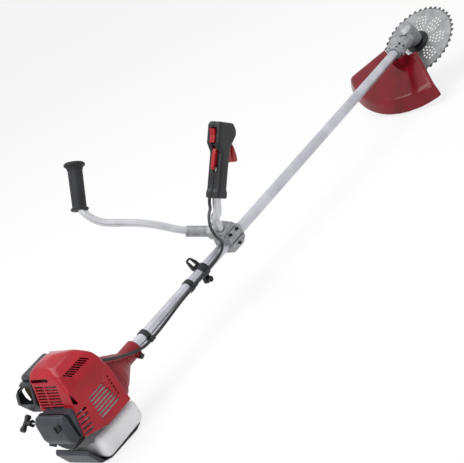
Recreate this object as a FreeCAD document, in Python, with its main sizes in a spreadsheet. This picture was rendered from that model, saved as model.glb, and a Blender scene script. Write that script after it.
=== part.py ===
"""Brush cutter: a two-stroke engine, a straight shaft, a bull handlebar and a saw blade under a guard.

Shaft frame: X runs forward along the tube, Y to the operator's left, Z up, and the origin is where the
tube enters the clutch case.  At the end every piece is set down in the rest frame, whose origin is the
middle of the stand's sole: the machine stands on that sole and on the rim of the guard.
"""
import FreeCAD, Part
import math
import os

import Sketcher
from FreeCAD import Placement, Rotation, Vector

doc = FreeCAD.newDocument("brush_cutter")
sheet = doc.addObject("Spreadsheet::Sheet", "sizes")


class Size:
    """A length that carries its spreadsheet expression along with its value."""

    def __init__(self, value, text):
        self.value = float(value)
        self.text = text

    def combined(self, sign, other, value):
        return Size(value, "(%s %s %s)" % (self.text, sign, written(other)))

    def __add__(self, other):
        return self.combined("+", other, self.value + number(other))

    def __sub__(self, other):
        return self.combined("-", other, self.value - number(other))

    def __mul__(self, other):
        return self.combined("*", other, self.value * number(other))

    def __truediv__(self, other):
        return self.combined("/", other, self.value / number(other))

    def __radd__(self, other):
        return Size(other, written(other)) + self

    def __rsub__(self, other):
        return Size(other, written(other)) - self

    def __rmul__(self, other):
        return Size(other, written(other)) * self

    def __neg__(self):
        return 0 - self


def number(amount):
    return amount.value if isinstance(amount, Size) else float(amount)


def written(amount):
    return amount.text if isinstance(amount, Size) else "%.9g" % amount


def size(alias, value, note):
    """Write one driving dimension into the sheet, in mm or degrees, and hand it back."""
    row = size.row
    size.row += 1
    sheet.set("A%d" % row, alias)
    sheet.set("B%d" % row, str(value))
    sheet.set("C%d" % row, note)
    sheet.setAlias("B%d" % row, alias)
    return Size(value, "sizes." + alias)


size.row = 1

# ---------------------------------------------------------------- driving dimensions
clearance = size("clearance", 0.3, "gap between curved faces of different pieces")
running = size("running", 0.05, "radial gap of a shaft in its bearing")
seat_gap = size("seat_gap", 0.2, "gap between a housing and what slides into it")

tube_radius = size("tube_radius", 14, "shaft tube, outside")
tube_wall = size("tube_wall", 1.6, "shaft tube, wall")
tube_socket = size("tube_socket", 34, "tube inside the clutch case")
tube_front = size("tube_front", 1444, "front end of the tube")
shaft_radius = size("shaft_radius", 4, "drive shaft")
bush_length = size("bush_length", 22, "shaft bush")
bush_count = 5

case_mouth = size("case_mouth", 20.5, "clutch case round the tube")
case_waist = size("case_waist", 30, "clutch case at the foot of its neck")
case_flange = size("case_flange", 58, "clutch case at the fan housing")
case_neck = size("case_neck", 48, "length of the neck")
case_length = size("case_length", 118, "mouth to fan housing")
case_wall = size("case_wall", 3.2, "clutch case wall")

drum_radius = size("drum_radius", 39, "clutch drum, outside")
drum_wall = size("drum_wall", 2.5, "clutch drum wall")
drum_depth = size("drum_depth", 22, "clutch drum depth")
drum_face = size("drum_face", -88, "front face of the drum's web")
shoe_radius = size("shoe_radius", 34.5, "clutch shoes at rest")

fan_housing_radius = size("fan_housing_radius", 62, "fan housing, outside")
fan_housing_depth = size("fan_housing_depth", 42, "fan housing along the shaft")
fan_radius = size("fan_radius", 54, "flywheel fan, over the blades")
crank_radius = size("crank_radius", 7.5, "crankshaft at its bearings")
crankcase_width = size("crankcase_width", 92, "crankcase across")
crankcase_depth = size("crankcase_depth", 66, "crankcase along the shaft")

recoil_radius = size("recoil_radius", 49, "recoil starter housing")
recoil_depth = size("recoil_depth", 28, "recoil starter housing along the shaft")
reel_radius = size("reel_radius", 20, "rope groove of the starter reel")

stand_drop = size("stand_drop", 108, "shaft axis down to the stand's sole")
stand_place = size("stand_place", -205, "middle of the sole along the shaft")

head_angle = size("head_angle", 60, "between the shaft and the blade spindle")
blade_place = size("blade_place", 1530, "blade centre along the shaft")
blade_drop = size("blade_drop", 33.6, "blade centre below the shaft axis")
blade_radius = size("blade_radius", 127.5, "blade over its tips")
blade_thick = size("blade_thick", 1.4, "blade plate")
blade_bore = size("blade_bore", 12.7, "blade bore radius")
guard_reach = size("guard_reach", 262, "guard rim from the spindle")

bar_place = size("bar_place", 436, "handlebar clamp along the shaft")
bar_radius = size("bar_radius", 9.5, "handlebar tube")
bar_roll = size("bar_roll", 5, "how far the bar is turned on the tube, left side up")

grip_base_x = size("grip_base_x", 224, "foot of the hand grips along the shaft")
grip_base_y = size("grip_base_y", 217, "foot of the hand grips, off the shaft")
grip_base_z = size("grip_base_z", 236, "foot of the hand grips, above the shaft")
grip_lean = size("grip_lean", 35, "grips lean forward")
grip_splay = size("grip_splay", 10, "grips lean outward")
grip_length = size("grip_length", 118, "rubber grip")
throttle_length = size("throttle_length", 165, "throttle grip, collar to head")
cable_radius = size("cable_radius", 3.5, "throttle cable")

doc.recompute()

# ---------------------------------------------------------------- ways of making a piece
HERE = Placement()


def bind(thing, path, amount):
    """Give a property its size, by expression where the size comes from the sheet."""
    if isinstance(amount, Size):
        thing.setExpression(path, amount.text)
    else:
        setattr(thing, path, amount)


def spot(x, y, z):
    return Vector(number(x), number(y), number(z))


def at(x, y, z, axis=Vector(0, 0, 1), turn=0):
    return Placement(spot(x, y, z), Rotation(axis, number(turn)))


def facing(x, y, z, direction):
    """A placement at a point, with local Z along the direction."""
    return Placement(spot(x, y, z), Rotation(Vector(0, 0, 1), direction))


def sketch_on(body, plane, name, offset=0):
    sketch = body.newObject("Sketcher::SketchObject", name)
    origin_plane = [part for part in body.Origin.OriginFeatures if part.Role == plane][0]
    sketch.AttachmentSupport = [(origin_plane, "")]
    sketch.MapMode = "FlatFace"
    if isinstance(offset, Size):
        sketch.setExpression("AttachmentOffset.Base.z", offset.text)
    else:
        sketch.AttachmentOffset = Placement(Vector(0, 0, offset), Rotation())
    return sketch


def hold(sketch, direction, geometry, point, amount):
    """Fix one coordinate of a sketch point from the sketch's origin."""
    if number(amount) == 0:
        line = {"DistanceX": -2, "DistanceY": -1}[direction]
        sketch.addConstraint(Sketcher.Constraint("PointOnObject", geometry, point, line))
        return
    mark = sketch.addConstraint(Sketcher.Constraint(direction, -1, 1, geometry, point, number(amount)))
    if isinstance(amount, Size):
        sketch.setExpression("Constraints[%d]" % mark, amount.text)


def polygon(sketch, points):
    first = sketch.GeometryCount
    corners = [spot(x, y, 0) for x, y in points]
    for here, there in zip(corners, corners[1:] + corners[:1]):
        sketch.addGeometry(Part.LineSegment(here, there))
    for index, (x, y) in enumerate(points):
        following = first + (index + 1) % len(points)
        sketch.addConstraint(Sketcher.Constraint("Coincident", first + index, 2, following, 1))
        hold(sketch, "DistanceX", first + index, 1, x)
        hold(sketch, "DistanceY", first + index, 1, y)


def circle(sketch, x, y, radius):
    index = sketch.addGeometry(Part.Circle(spot(x, y, 0), Vector(0, 0, 1), number(radius)))
    mark = sketch.addConstraint(Sketcher.Constraint("Radius", index, number(radius)))
    if isinstance(radius, Size):
        sketch.setExpression("Constraints[%d]" % mark, radius.text)
    hold(sketch, "DistanceX", index, 3, x)
    hold(sketch, "DistanceY", index, 3, y)


def turned(name, points, placement=HERE):
    """A solid of revolution about the body's X axis, from (x, radius) points."""
    body = doc.addObject("PartDesign::Body", name)
    sketch = sketch_on(body, "XZ_Plane", name + "_profile")
    polygon(sketch, points)
    spin = body.newObject("PartDesign::Revolution", name + "_turned")
    spin.Profile = sketch
    spin.ReferenceAxis = (sketch, ["H_Axis"])
    spin.Angle = 360
    body.Tip = spin
    body.Placement = placement
    return body


def pipe(name, outside, inside, start, length, placement=HERE):
    """A straight tube along the body's X axis."""
    end = start + length
    return turned(name, [(start, inside), (end, inside), (end, outside), (start, outside)], placement)


def padded(name, plane, points, length, placement=HERE, offset=0, midplane=True, holes=()):
    """A flat outline thickened across its plane."""
    body = doc.addObject("PartDesign::Body", name)
    sketch = sketch_on(body, plane, name + "_outline", offset)
    polygon(sketch, points)
    for x, y, radius in holes:
        circle(sketch, x, y, radius)
    pad = body.newObject("PartDesign::Pad", name + "_pad")
    pad.Profile = sketch
    bind(pad, "Length", length)
    pad.Midplane = midplane
    body.Tip = pad
    body.Placement = placement
    return body


def rounded(body, radius, choose):
    """Round the edges of the body's tip that the test picks out."""
    doc.recompute()
    base = body.Tip
    picked = ["Edge%d" % (index + 1) for index, edge in enumerate(base.Shape.Edges) if choose(edge)]
    fillet = body.newObject("PartDesign::Fillet", body.Name + "_rounding")
    fillet.Base = (base, picked)
    bind(fillet, "Radius", radius)
    body.Tip = fillet
    return body


def along(direction):
    """Picks straight edges that run along a direction."""
    def test(edge):
        ends = edge.Vertexes
        if edge.Curve.TypeId != "Part::GeomLine" or len(ends) != 2:
            return False
        run = ends[1].Point.sub(ends[0].Point)
        return abs(run.dot(direction)) > 0.999 * run.Length
    return test


def every(edge):
    return True


def rod(name, radius, length, placement=HERE):
    cylinder = doc.addObject("Part::Cylinder", name)
    bind(cylinder, "Radius", radius)
    bind(cylinder, "Height", length)
    cylinder.Placement = placement
    return cylinder


def block(name, x_size, y_size, z_size, x, y, z, placement=HERE):
    """A box from its lowest corner."""
    box = doc.addObject("Part::Box", name)
    bind(box, "Length", x_size)
    bind(box, "Width", y_size)
    bind(box, "Height", z_size)
    box.Placement = placement.multiply(at(x, y, z))
    return box


def fused(name, *shapes):
    union = doc.addObject("Part::MultiFuse", name)
    union.Shapes = list(shapes)
    return union


def grouped(name, *shapes):
    """Separate solids kept together under one name."""
    group = doc.addObject("Part::Compound", name)
    group.Links = list(shapes)
    return group


def without(name, base, *tools):
    cut = doc.addObject("Part::Cut", name)
    cut.Base = base
    cut.Tool = tools[0] if len(tools) == 1 else fused(name + "_tools", *tools)
    return cut


def shared(name, *shapes):
    common = doc.addObject("Part::MultiCommon", name)
    common.Shapes = list(shapes)
    return common


def socket_screw(name, radius, length, placement):
    """A cap screw with a hexagon socket, seated under its head at the placement, shank down local -Z."""
    shank = rod(name + "_shank", radius, length, placement.multiply(at(0, 0, -length)))
    head = rod(name + "_head", radius * 1.7, radius * 1.9, placement)
    key = doc.addObject("Part::Prism", name + "_key")
    key.Polygon = 6
    bind(key, "Circumradius", radius * 0.9)
    bind(key, "Height", radius * 1.2)
    key.Placement = placement.multiply(at(0, 0, radius * 0.9))
    return without(name, fused(name + "_blank", shank, head), key)


pieces = []


def keep(piece, placement=HERE):
    """List a finished piece, set in its own sub-frame of the shaft frame."""
    piece.Label = piece.Name
    pieces.append((piece, placement.multiply(piece.Placement)))
    return piece

# ---------------------------------------------------------------- shaft tube and what runs in it
FORWARD = Vector(1, 0, 0)
LEFT = Vector(0, 1, 0)
UP = Vector(0, 0, 1)

tube_bore = tube_radius - tube_wall
keep(pipe("shaft_tube", tube_radius, tube_bore, -tube_socket, tube_front + tube_socket))

bush_pitch = tube_front / bush_count
bushes = [pipe("bush_%d" % index, tube_bore - running, shaft_radius + running,
               bush_pitch * (index + 0.5) - bush_length / 2, bush_length)
          for index in range(bush_count)]
keep(grouped("shaft_bushes", *bushes))

shaft_rear = drum_face - drum_wall
pinion_place = blade_place - 43
keep(turned("drive_shaft", [(shaft_rear, 0), (pinion_place, 0), (pinion_place, shaft_radius),
                            (shaft_rear, shaft_radius)]))

# ---------------------------------------------------------------- clutch case, drum and shoes
flange_thick = size("flange_thick", 10, "clutch case flange")
bearing_radius = size("bearing_radius", 14, "drum bearing")
bearing_width = size("bearing_width", 14, "drum bearing along the shaft")
hub_radius = size("hub_radius", 10, "drum hub")

seat_rear = drum_face + 4
seat_front = seat_rear + bearing_width
case_foot = case_neck + 12
case_blank = turned("case_blank", [
    (0, tube_radius + seat_gap), (0, case_mouth - 1.5), (-1.5, case_mouth), (8 - case_neck, case_mouth),
    (-case_neck, case_mouth + 1.5), (-case_foot, case_waist), (-case_foot - 30, case_flange - 10),
    (-case_length + flange_thick + 4, case_flange - 6), (-case_length + flange_thick, case_flange),
    (-case_length, case_flange), (-case_length, drum_radius + 9), (drum_face + 2, drum_radius + 3),
    (drum_face + 2, bearing_radius + 4), (seat_rear, bearing_radius + 4), (seat_rear, bearing_radius),
    (seat_front, bearing_radius), (seat_front, 9), (-tube_socket, 9), (-tube_socket, tube_radius + seat_gap)])
screw_side = Vector(0, -0.866, -0.5)
screw_foot = facing(-14, 0, 0, screw_side)
lug = rod("case_lug", 8, case_mouth + 6, screw_foot)
lug_bore = rod("case_lug_bore", tube_radius + seat_gap, tube_socket, facing(-tube_socket, 0, 0, FORWARD))
lug_hole = rod("case_lug_hole", 2.5 + running, 60, screw_foot)
keep(without("clutch_case", fused("case_with_lug", case_blank, lug), lug_bore, lug_hole))

screw_shank = rod("case_screw_shank", 2.5, case_mouth - tube_radius + 7, screw_foot.multiply(at(0, 0, tube_radius)))
screw_knob = rod("case_screw_knob", 6.5, 6, screw_foot.multiply(at(0, 0, case_mouth + 6)))
keep(fused("case_screw", screw_shank, screw_knob))

keep(pipe("clutch_bearing", bearing_radius, hub_radius + running, seat_rear, bearing_width))

drum_mouth = drum_face - drum_depth
hub_front = seat_front - clearance
drum_inside = drum_radius - drum_wall
keep(turned("clutch_drum", [
    (drum_mouth, drum_radius), (drum_face, drum_radius), (drum_face, hub_radius), (hub_front, hub_radius),
    (hub_front, shaft_radius + running), (shaft_rear, shaft_radius + running), (shaft_rear, drum_inside),
    (drum_mouth, drum_inside)]))

shoe_depth = drum_depth - 6
shoe_ring = pipe("shoe_ring", shoe_radius, 16, drum_mouth + 3, shoe_depth)
shoe_slit = block("shoe_slit", shoe_depth + 10, 11, 100, drum_mouth - 2, -5.5, -50)
shoe_boss = pipe("shoe_boss", 13, crank_radius, drum_mouth + 3, shoe_depth)
shoe_arm = block("shoe_arm", shoe_depth, 10, 60, drum_mouth + 3, -5, -30)
shoe_arm_bore = rod("shoe_arm_bore", crank_radius, shoe_depth + 8, facing(drum_mouth, 0, 0, FORWARD))
keep(grouped("clutch_shoes", without("shoe_pair", shoe_ring, shoe_slit),
             without("shoe_carrier", fused("shoe_carrier_blank", shoe_boss, shoe_arm), shoe_arm_bore)))

# ---------------------------------------------------------------- fan housing, flywheel and crankshaft
fan_front = -case_length
fan_rear = fan_front - fan_housing_depth
fan_wall = size("fan_wall", 3, "fan housing wall")
fan_blades = 16
keep(turned("fan_housing", [
    (fan_front, drum_radius + 9), (fan_front, fan_housing_radius - 2), (fan_front - 2, fan_housing_radius),
    (fan_rear, fan_housing_radius), (fan_rear, fan_housing_radius - fan_wall),
    (fan_front - fan_wall, fan_housing_radius - fan_wall), (fan_front - fan_wall, drum_radius + 9)]))

fan_disc = fan_rear + 8
flywheel = turned("flywheel_fan", [
    (fan_disc, crank_radius), (fan_disc, fan_radius - 2), (fan_disc + 4, fan_radius - 2),
    (fan_disc + 8, 26), (fan_disc + 24, 17), (fan_disc + 24, crank_radius)])
vane_sketch = sketch_on(flywheel, "YZ_Plane", "vane_outline", fan_disc)
polygon(vane_sketch, [(20, -1.2), (38, 0.5), (fan_radius, 6), (fan_radius, 8.6), (38, 3), (20, 1.2)])
vane = flywheel.newObject("PartDesign::Pad", "vane")
vane.Profile = vane_sketch
bind(vane, "Length", fan_housing_depth - 20)
flywheel.Tip = vane
vanes = flywheel.newObject("PartDesign::PolarPattern", "vanes")
vanes.Originals = [vane]
vanes.Axis = ([part for part in flywheel.Origin.OriginFeatures if part.Role == "X_Axis"][0], [""])
vanes.Angle = 360
vanes.Occurrences = fan_blades
flywheel.Tip = vanes
keep(flywheel)

crankcase_front = fan_rear - 2
crankcase_rear = crankcase_front - crankcase_depth
boss_rear = crankcase_rear - 26
crank_front = drum_face - 6.5
keep(turned("crankshaft", [
    (boss_rear - 6, 0), (crank_front, 0), (crank_front, crank_radius), (boss_rear - 1, crank_radius),
    (boss_rear - 1, 15), (boss_rear - 4, 15), (boss_rear - 4, 9), (boss_rear - 6, 9)]))

# ---------------------------------------------------------------- crankcase and cylinder
case_top = size("case_top", 34, "crankcase deck above the shaft")
boss_radius = size("boss_radius", 34, "rear boss of the crankcase")
rib_pitch = size("rib_pitch", 8.8, "pitch of the crankcase ribs")
rib_reach = size("rib_reach", 74, "rib tips from the shaft")
rib_count = 6

half_case = crankcase_width / 2
case_section = [(-half_case, case_top), (-half_case, -22), (-24, -50), (24, -50), (half_case, -22),
                (half_case, case_top)]
case_block = padded("case_block", "YZ_Plane", case_section, crankcase_depth,
                    offset=crankcase_rear, midplane=False)
rounded(case_block, 7, along(FORWARD))
boss = pipe("case_boss", boss_radius, crank_radius + running, boss_rear, crankcase_rear + 2 - boss_rear)
ribs = [block("case_rib_%d" % index, crankcase_depth - 4, rib_reach - half_case + 6, 3,
              crankcase_rear + 6, -rib_reach, case_top - 4 - index * rib_pitch)
        for index in range(rib_count)]
crank_bore = rod("crank_bore", crank_radius + running, crankcase_depth + 40,
                 facing(boss_rear - 2, 0, 0, FORWARD))
keep(without("crankcase", fused("crankcase_blank", case_block, boss, *ribs), crank_bore))

cylinder_place = crankcase_rear + 26
barrel_radius = size("barrel_radius", 26, "cylinder barrel")
fin_width = size("fin_width", 78, "cylinder fins across")
fin_thick = size("fin_thick", 2, "cylinder fin")
fin_pitch = size("fin_pitch", 6.5, "pitch of the cylinder fins")
fin_count = 9
barrel_top = case_top + fin_count * fin_pitch + 6
barrel = rod("barrel", barrel_radius, barrel_top - case_top, at(cylinder_place, 0, case_top))
fins = []
for index in range(fin_count):
    fin = block("fin_%d" % index, fin_width, fin_width, fin_thick, cylinder_place - fin_width / 2,
                -fin_width / 2, case_top + 9 + index * fin_pitch)
    fins.append(fin)
corner_rod = rod("fin_corner", fin_width * 0.6, barrel_top, at(cylinder_place, 0, case_top))
finned = shared("fins_rounded", fused("fins_square", *fins), corner_rod)
port_face = fin_width / 2 + 2
port_block = block("exhaust_port", 34, port_face - 20, 24, cylinder_place - 17, 20, case_top + 22)
plug_seat = rod("plug_seat", 9, 12, at(cylinder_place, 0, barrel_top - 2))
plug_bore = rod("plug_bore", 5, 30, at(cylinder_place, 0, barrel_top - 16))
keep(without("cylinder", fused("cylinder_blank", barrel, finned, port_block, plug_seat), plug_bore))

plug_foot = barrel_top + 10
keep(turned("spark_plug", [
    (-24, 0), (14, 0), (14, 3.4), (6, 4.6), (6, 7.5), (0, 7.5), (0, 5 - running), (-24, 5 - running)],
    facing(cylinder_place, 0, plug_foot, UP).multiply(Placement(Vector(), Rotation(LEFT, -90)))))
boot = turned("plug_boot_blank", [(6.3, 0), (21, 0), (21, 7), (17, 9), (6.3, 9)],
              facing(cylinder_place, 0, plug_foot, UP).multiply(Placement(Vector(), Rotation(LEFT, -90))))
boot_arm = rod("plug_boot_arm", 4.5, 24, facing(cylinder_place, 0, plug_foot + 14, FORWARD))
boot_bore = rod("plug_boot_bore", 4.9, 9, at(cylinder_place, 0, plug_foot + 6))
keep(without("plug_boot", fused("plug_boot_body", boot, boot_arm), boot_bore))

coil_core = block("coil_core", 9, 46, 10, fan_rear + 2, -23, fan_housing_radius + 4)
coil_body = block("coil_body", 11, 24, 26, fan_rear, -12, fan_housing_radius + 8)
keep(fused("ignition_coil", coil_core, coil_body))

# ---------------------------------------------------------------- engine cover
cover_wall = size("cover_wall", 2.5, "engine cover wall")
cover_right = size("cover_right", 80, "cover flank from the shaft, right side")
cover_left = size("cover_left", 34, "cover flank from the shaft, left side")
cover_top = size("cover_top", 142, "crown of the cover above the shaft")
cover_hem = size("cover_hem", 34, "lower edge of the cover below the shaft")
cover_rear = size("cover_rear", -284, "lower rear edge of the cover")
cover_front = size("cover_front", -138, "front edge of the cover")


def inset(points, wall):
    """The same outline drawn in by a wall, for an outline that runs clockwise."""
    drawn = []
    for index, here in enumerate(points):
        before = points[index - 1]
        after = points[(index + 1) % len(points)]
        first = spot(here[0] - before[0], here[1] - before[1], 0)
        second = spot(after[0] - here[0], after[1] - here[1], 0)
        first.normalize()
        second.normalize()
        bisector = Vector(first.y + second.y, -first.x - second.x, 0)
        reach = 2 / bisector.Length
        bisector.normalize()
        drawn.append((here[0] + wall * (bisector.x * reach), here[1] + wall * (bisector.y * reach)))
    return drawn


# across the machine, clockwise from the lower right edge: flank, shoulder, roof, left flank
cover_section = [(-cover_right, -cover_hem), (-cover_right, cover_top - 54), (14 - cover_right, cover_top - 26),
                 (38 - cover_right, cover_top - 10), (-10, cover_top - 2), (cover_left - 14, cover_top - 4),
                 (cover_left, cover_top - 14), (cover_left, 36)]
# along the machine, clockwise from the lower rear edge: leaning back, crown, front
cover_side = [(cover_rear, -10), (cover_rear + 34, cover_top - 20), (cover_rear + 49, cover_top - 6),
              (cover_rear + 84, cover_top), (cover_rear + 119, cover_top - 14),
              (cover_front - 8, cover_top - 38), (cover_front - 2, 70), (cover_front, -cover_hem),
              (cover_front - 78, -cover_hem)]


def shell_form(name, section, side, low):
    """The solid where a section swept lengthways meets a side outline swept across."""
    section = list(section)
    side = list(side)
    for outline, ends in ((section, (0, -1)), (side, (0, -1, -2))):
        for end in ends:
            outline[end] = (outline[end][0], outline[end][1] - low)
    swept = padded(name + "_swept", "YZ_Plane", section, 220, offset=cover_rear - 20, midplane=False)
    profile = padded(name + "_profile", "XZ_Plane", side, 400)
    return shared(name, swept, profile)


def slab(name, length, width, depth, place):
    """A box centred on its placement."""
    return block(name, length, width, depth, -length / 2, -width / 2, -depth / 2, place)


cover_form = shell_form("cover_form", cover_section, cover_side, 0)
doc.recompute()
cover_outside = doc.addObject("Part::Fillet", "cover_outside")
cover_outside.Base = cover_form
picked = []
for index, edge in enumerate(cover_form.Shape.Edges):
    middle = edge.valueAt((edge.FirstParameter + edge.LastParameter) / 2)
    if middle.z > 40 and edge.Length > 8:
        picked.append((index + 1, 5, 5))
cover_outside.Edges = picked

panel = padded("cover_panel", "XZ_Plane", [
    (cover_rear + 27, cover_top - 57), (cover_rear + 102, cover_top - 57), (cover_front - 13, cover_top - 76),
    (cover_front - 37, cover_top - 97), (cover_rear + 57, cover_top - 101), (cover_rear + 32, cover_top - 94)],
    cover_wall, at(0, -cover_right, 0))
cover_inside = shell_form("cover_inside", inset(cover_section, cover_wall), inset(cover_side, cover_wall), 20)

openings = [
    rod("fan_clearance", fan_housing_radius + 2, 40, facing(fan_rear - 2, 0, 0, FORWARD)),
    rod("recoil_clearance", recoil_radius + 2.5, 60, facing(cover_rear - 10, 0, 0, FORWARD)),
    block("cylinder_clearance", fin_width + 6, 12, barrel_top - 30, cylinder_place - fin_width / 2 - 3,
          cover_left - 6, 30),
    block("intake_clearance", 50, 118, 64, cover_rear - 6, cover_wall - cover_right, -14),
    padded("corner_opening", "XZ_Plane", [(cover_rear + 26, 84), (cover_rear + 21, 60), (cover_rear + 32, 51)],
           30, at(0, -cover_right, 0))]

louvre_pitch = size("louvre_pitch", 8.8, "pitch of the flank louvre")
louvre_count = 7
for index in range(louvre_count):
    rear_end = cover_front - 88 + index * 0.5
    openings.append(block("louvre_%d" % index, 50 + index * 2, 20, 4.6, rear_end, -cover_right - 10,
                          cover_top - 102 - index * louvre_pitch))
for index in range(6):
    openings.append(block("flank_hole_%d" % index, 4.5, 20, 4.5, cover_front - 21, -cover_right - 10,
                          cover_top - 100 - index * 9))
for index in range(5):
    lower = at(cover_rear + 28 - index * 2.5, -cover_right, cover_top - 106 - index * 11, LEFT, 8)
    openings.append(slab("corner_slot_%d" % index, 30, 20, 4.2, lower))

bevel_out = Vector(0, -2, 1).normalize()
bevel_run = Vector(13, -6.5, -13).normalize()
bevel_side = bevel_out.cross(bevel_run)
for index in range(9):
    place = Placement(spot(cover_rear + 54 + index * 7, 10 - cover_right, cover_top - 34),
                      Rotation(bevel_run, bevel_side, bevel_out, "ZXY"))
    openings.append(slab("shoulder_slot_%d" % index, 21, 3.2, 14, place))

grille_rows = 8
grille_pitch = size("grille_pitch", 6.4, "pitch of the rear grille")
for row in range(grille_rows):
    level = cover_top - 88 + row * grille_pitch
    openings.append(block("grille_right_%d" % row, 50, 40, 3.4, cover_rear, -50, level))
    openings.append(block("grille_left_%d" % row, 50, 30, 3.4, cover_rear, -6, level))
openings.append(block("rear_oval", 50, 50, 7, cover_rear + 4, -26, cover_top - 31))
openings.append(rod("rear_oval_right", 3.5, 50, facing(cover_rear + 4, -26, cover_top - 27.5, FORWARD)))
openings.append(rod("rear_oval_left", 3.5, 50, facing(cover_rear + 4, 24, cover_top - 27.5, FORWARD)))
openings.append(rod("cable_entry", 7, 30, facing(cover_front - 18, -50, cover_top - 69, FORWARD)))

keep(without("engine_cover", fused("cover_blank", cover_outside, panel), cover_inside, *openings))

# ---------------------------------------------------------------- muffler and its guard
guard_left = size("guard_left", 98, "muffler guard, left flank from the shaft")
guard_top = size("guard_top", 110, "muffler guard, roof above the shaft")
guard_low = size("guard_low", 36, "muffler guard, lower edge above the shaft")
muffler_depth = size("muffler_depth", 80, "muffler along the shaft")

muffler_rear = cylinder_place - muffler_depth / 2
muffler = padded("muffler", "YZ_Plane", [
    (port_face, guard_low + 8), (port_face, guard_top - 5), (guard_left - 28, guard_top - 5),
    (guard_left - 12, guard_top - 24), (guard_left - 12, guard_low + 22), (guard_left - 26, guard_low + 8)],
    muffler_depth, offset=muffler_rear, midplane=False)
rounded(muffler, 5, every)
keep(muffler)

guard_section = [(cover_left, guard_low), (cover_left, guard_top), (guard_left - 24, guard_top),
                 (guard_left, guard_top - 24), (guard_left, guard_low + 28), (guard_left - 18, guard_low)]
guard_side = [(cover_rear + 28, guard_low), (cover_rear + 16, guard_low + 32), (cover_rear + 34, guard_top),
              (cover_front - 22, guard_top), (cover_front - 12, guard_top - 24),
              (cover_front - 12, guard_low + 14), (cover_front - 26, guard_low)]
guard_outside = shell_form("guard_outside", guard_section, guard_side, 0)
guard_inside = shell_form("guard_inside", inset(guard_section, cover_wall), inset(guard_side, cover_wall), 0)
guard_cuts = [
    rod("guard_fan_clearance", fan_housing_radius + 2, 40, facing(fan_rear - 2, 0, 0, FORWARD)),
    block("guard_open_side", muffler_depth + 18, 8, guard_top - guard_low - 12, muffler_rear - 9,
          cover_left - 2, guard_low + 6),
    block("guard_rear_window", 30, guard_left - cover_left - 20, 34, cover_rear + 10, cover_left + 8,
          guard_top - 42)]
for index in range(5):
    guard_cuts.append(block("guard_vent_%d" % index, 8, 20, 28, muffler_rear + 2 + index * 17, guard_left - 10,
                            guard_low + 20))
keep(without("muffler_guard", guard_outside, guard_inside, *guard_cuts))

cap = padded("guard_cap", "YZ_Plane", [
    (cover_left, guard_top), (cover_left, guard_top + 15), (cover_left + 18, guard_top + 19),
    (cover_left + 34, guard_top + 12), (cover_left + 40, guard_top)], 76, offset=cover_rear + 40,
    midplane=False)
rounded(cap, 3.5, lambda edge: edge.BoundBox.ZMax > guard_top.value + 1)
keep(cap)

# ---------------------------------------------------------------- intake: insulator, carburettor, air cleaner
carb_right = -cover_right + 4
carb_front = boss_rear + 3
intake_level = 29
insulator = block("insulator_body", crankcase_rear - carb_front, 36, 22, carb_front, -68, intake_level - 11)
intake_bore = rod("insulator_bore", 6, 60, facing(carb_front - 10, -60, intake_level, FORWARD))
keep(without("insulator", insulator, intake_bore))

carb_depth = size("carb_depth", 32, "carburettor along the shaft")
carb_rear = carb_front - carb_depth
carb_body = block("carb_body", carb_depth, 23, 32, carb_rear, carb_right, intake_level - 17)
carb_bowl = rod("carb_bowl", 10, 9, at(carb_rear + carb_depth / 2, carb_right + 11.5, intake_level - 25))
carb_stem = rod("carb_stem", 4, 6, at(carb_rear + carb_depth / 2, carb_right + 11.5, intake_level + 14))
carb_bore = rod("carb_bore", 6, 60, facing(carb_rear - 10, -60, intake_level, FORWARD))
keep(without("carburettor", fused("carb_blank", carb_body, carb_bowl, carb_stem), carb_bore))

plate_thick = size("plate_thick", 5, "air cleaner base plate")
cleaner_depth = size("cleaner_depth", 24, "air cleaner cover along the shaft")
cleaner_width = size("cleaner_width", 94, "air cleaner cover across")
cleaner_height = size("cleaner_height", 67, "air cleaner cover, height")
plate_rear = carb_rear - plate_thick
cleaner_middle = -27
cleaner_low = -10

plate = padded("air_cleaner_base", "YZ_Plane", [
    (cleaner_middle - cleaner_width / 2, cleaner_low), (cleaner_middle - cleaner_width / 2, cleaner_low + cleaner_height),
    (cleaner_middle + cleaner_width / 2, cleaner_low + cleaner_height), (cleaner_middle + cleaner_width / 2, cleaner_low)],
    plate_thick, offset=plate_rear, midplane=False, holes=[(-60, intake_level, 8)])
rounded(plate, 9, along(FORWARD))
keep(plate)


def cleaner_form(name, wall):
    """The bulged box of the air cleaner: flat at the plate, its back canted in three facets."""
    drawn = [(plate_rear, cleaner_low + wall), (plate_rear - cleaner_depth * 0.75 + wall, cleaner_low + wall),
             (plate_rear - cleaner_depth + wall, cleaner_low + 16),
             (plate_rear - cleaner_depth + 3 + wall, cleaner_low + cleaner_height - 12),
             (plate_rear - cleaner_depth * 0.5 + wall, cleaner_low + cleaner_height - wall),
             (plate_rear, cleaner_low + cleaner_height - wall)]
    form = padded(name, "XZ_Plane", drawn, cleaner_width - wall * 2, at(0, cleaner_middle, 0))
    return rounded(form, 9 - wall, lambda edge: edge.Length > 8 and not along(LEFT)(edge)
                   and edge.BoundBox.XMin < plate_rear.value - 1 and abs(edge.BoundBox.YLength) < 1)


cleaner_outside = cleaner_form("cleaner_outside", 0)
cleaner_inside = cleaner_form("cleaner_inside", 2.2)
knob_place = facing(plate_rear - cleaner_depth - 6, cleaner_middle - 31, cleaner_low + 49, FORWARD)
knob_hole = rod("knob_hole", 3 + running, 30, knob_place)
keep(without("air_cleaner_cover", cleaner_outside, cleaner_inside, knob_hole))

keep(block("air_element", cleaner_depth * 0.4, cleaner_width - 50, cleaner_height - 24, plate_rear - cleaner_depth * 0.4,
           cleaner_middle - 14, cleaner_low + 12))

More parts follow.
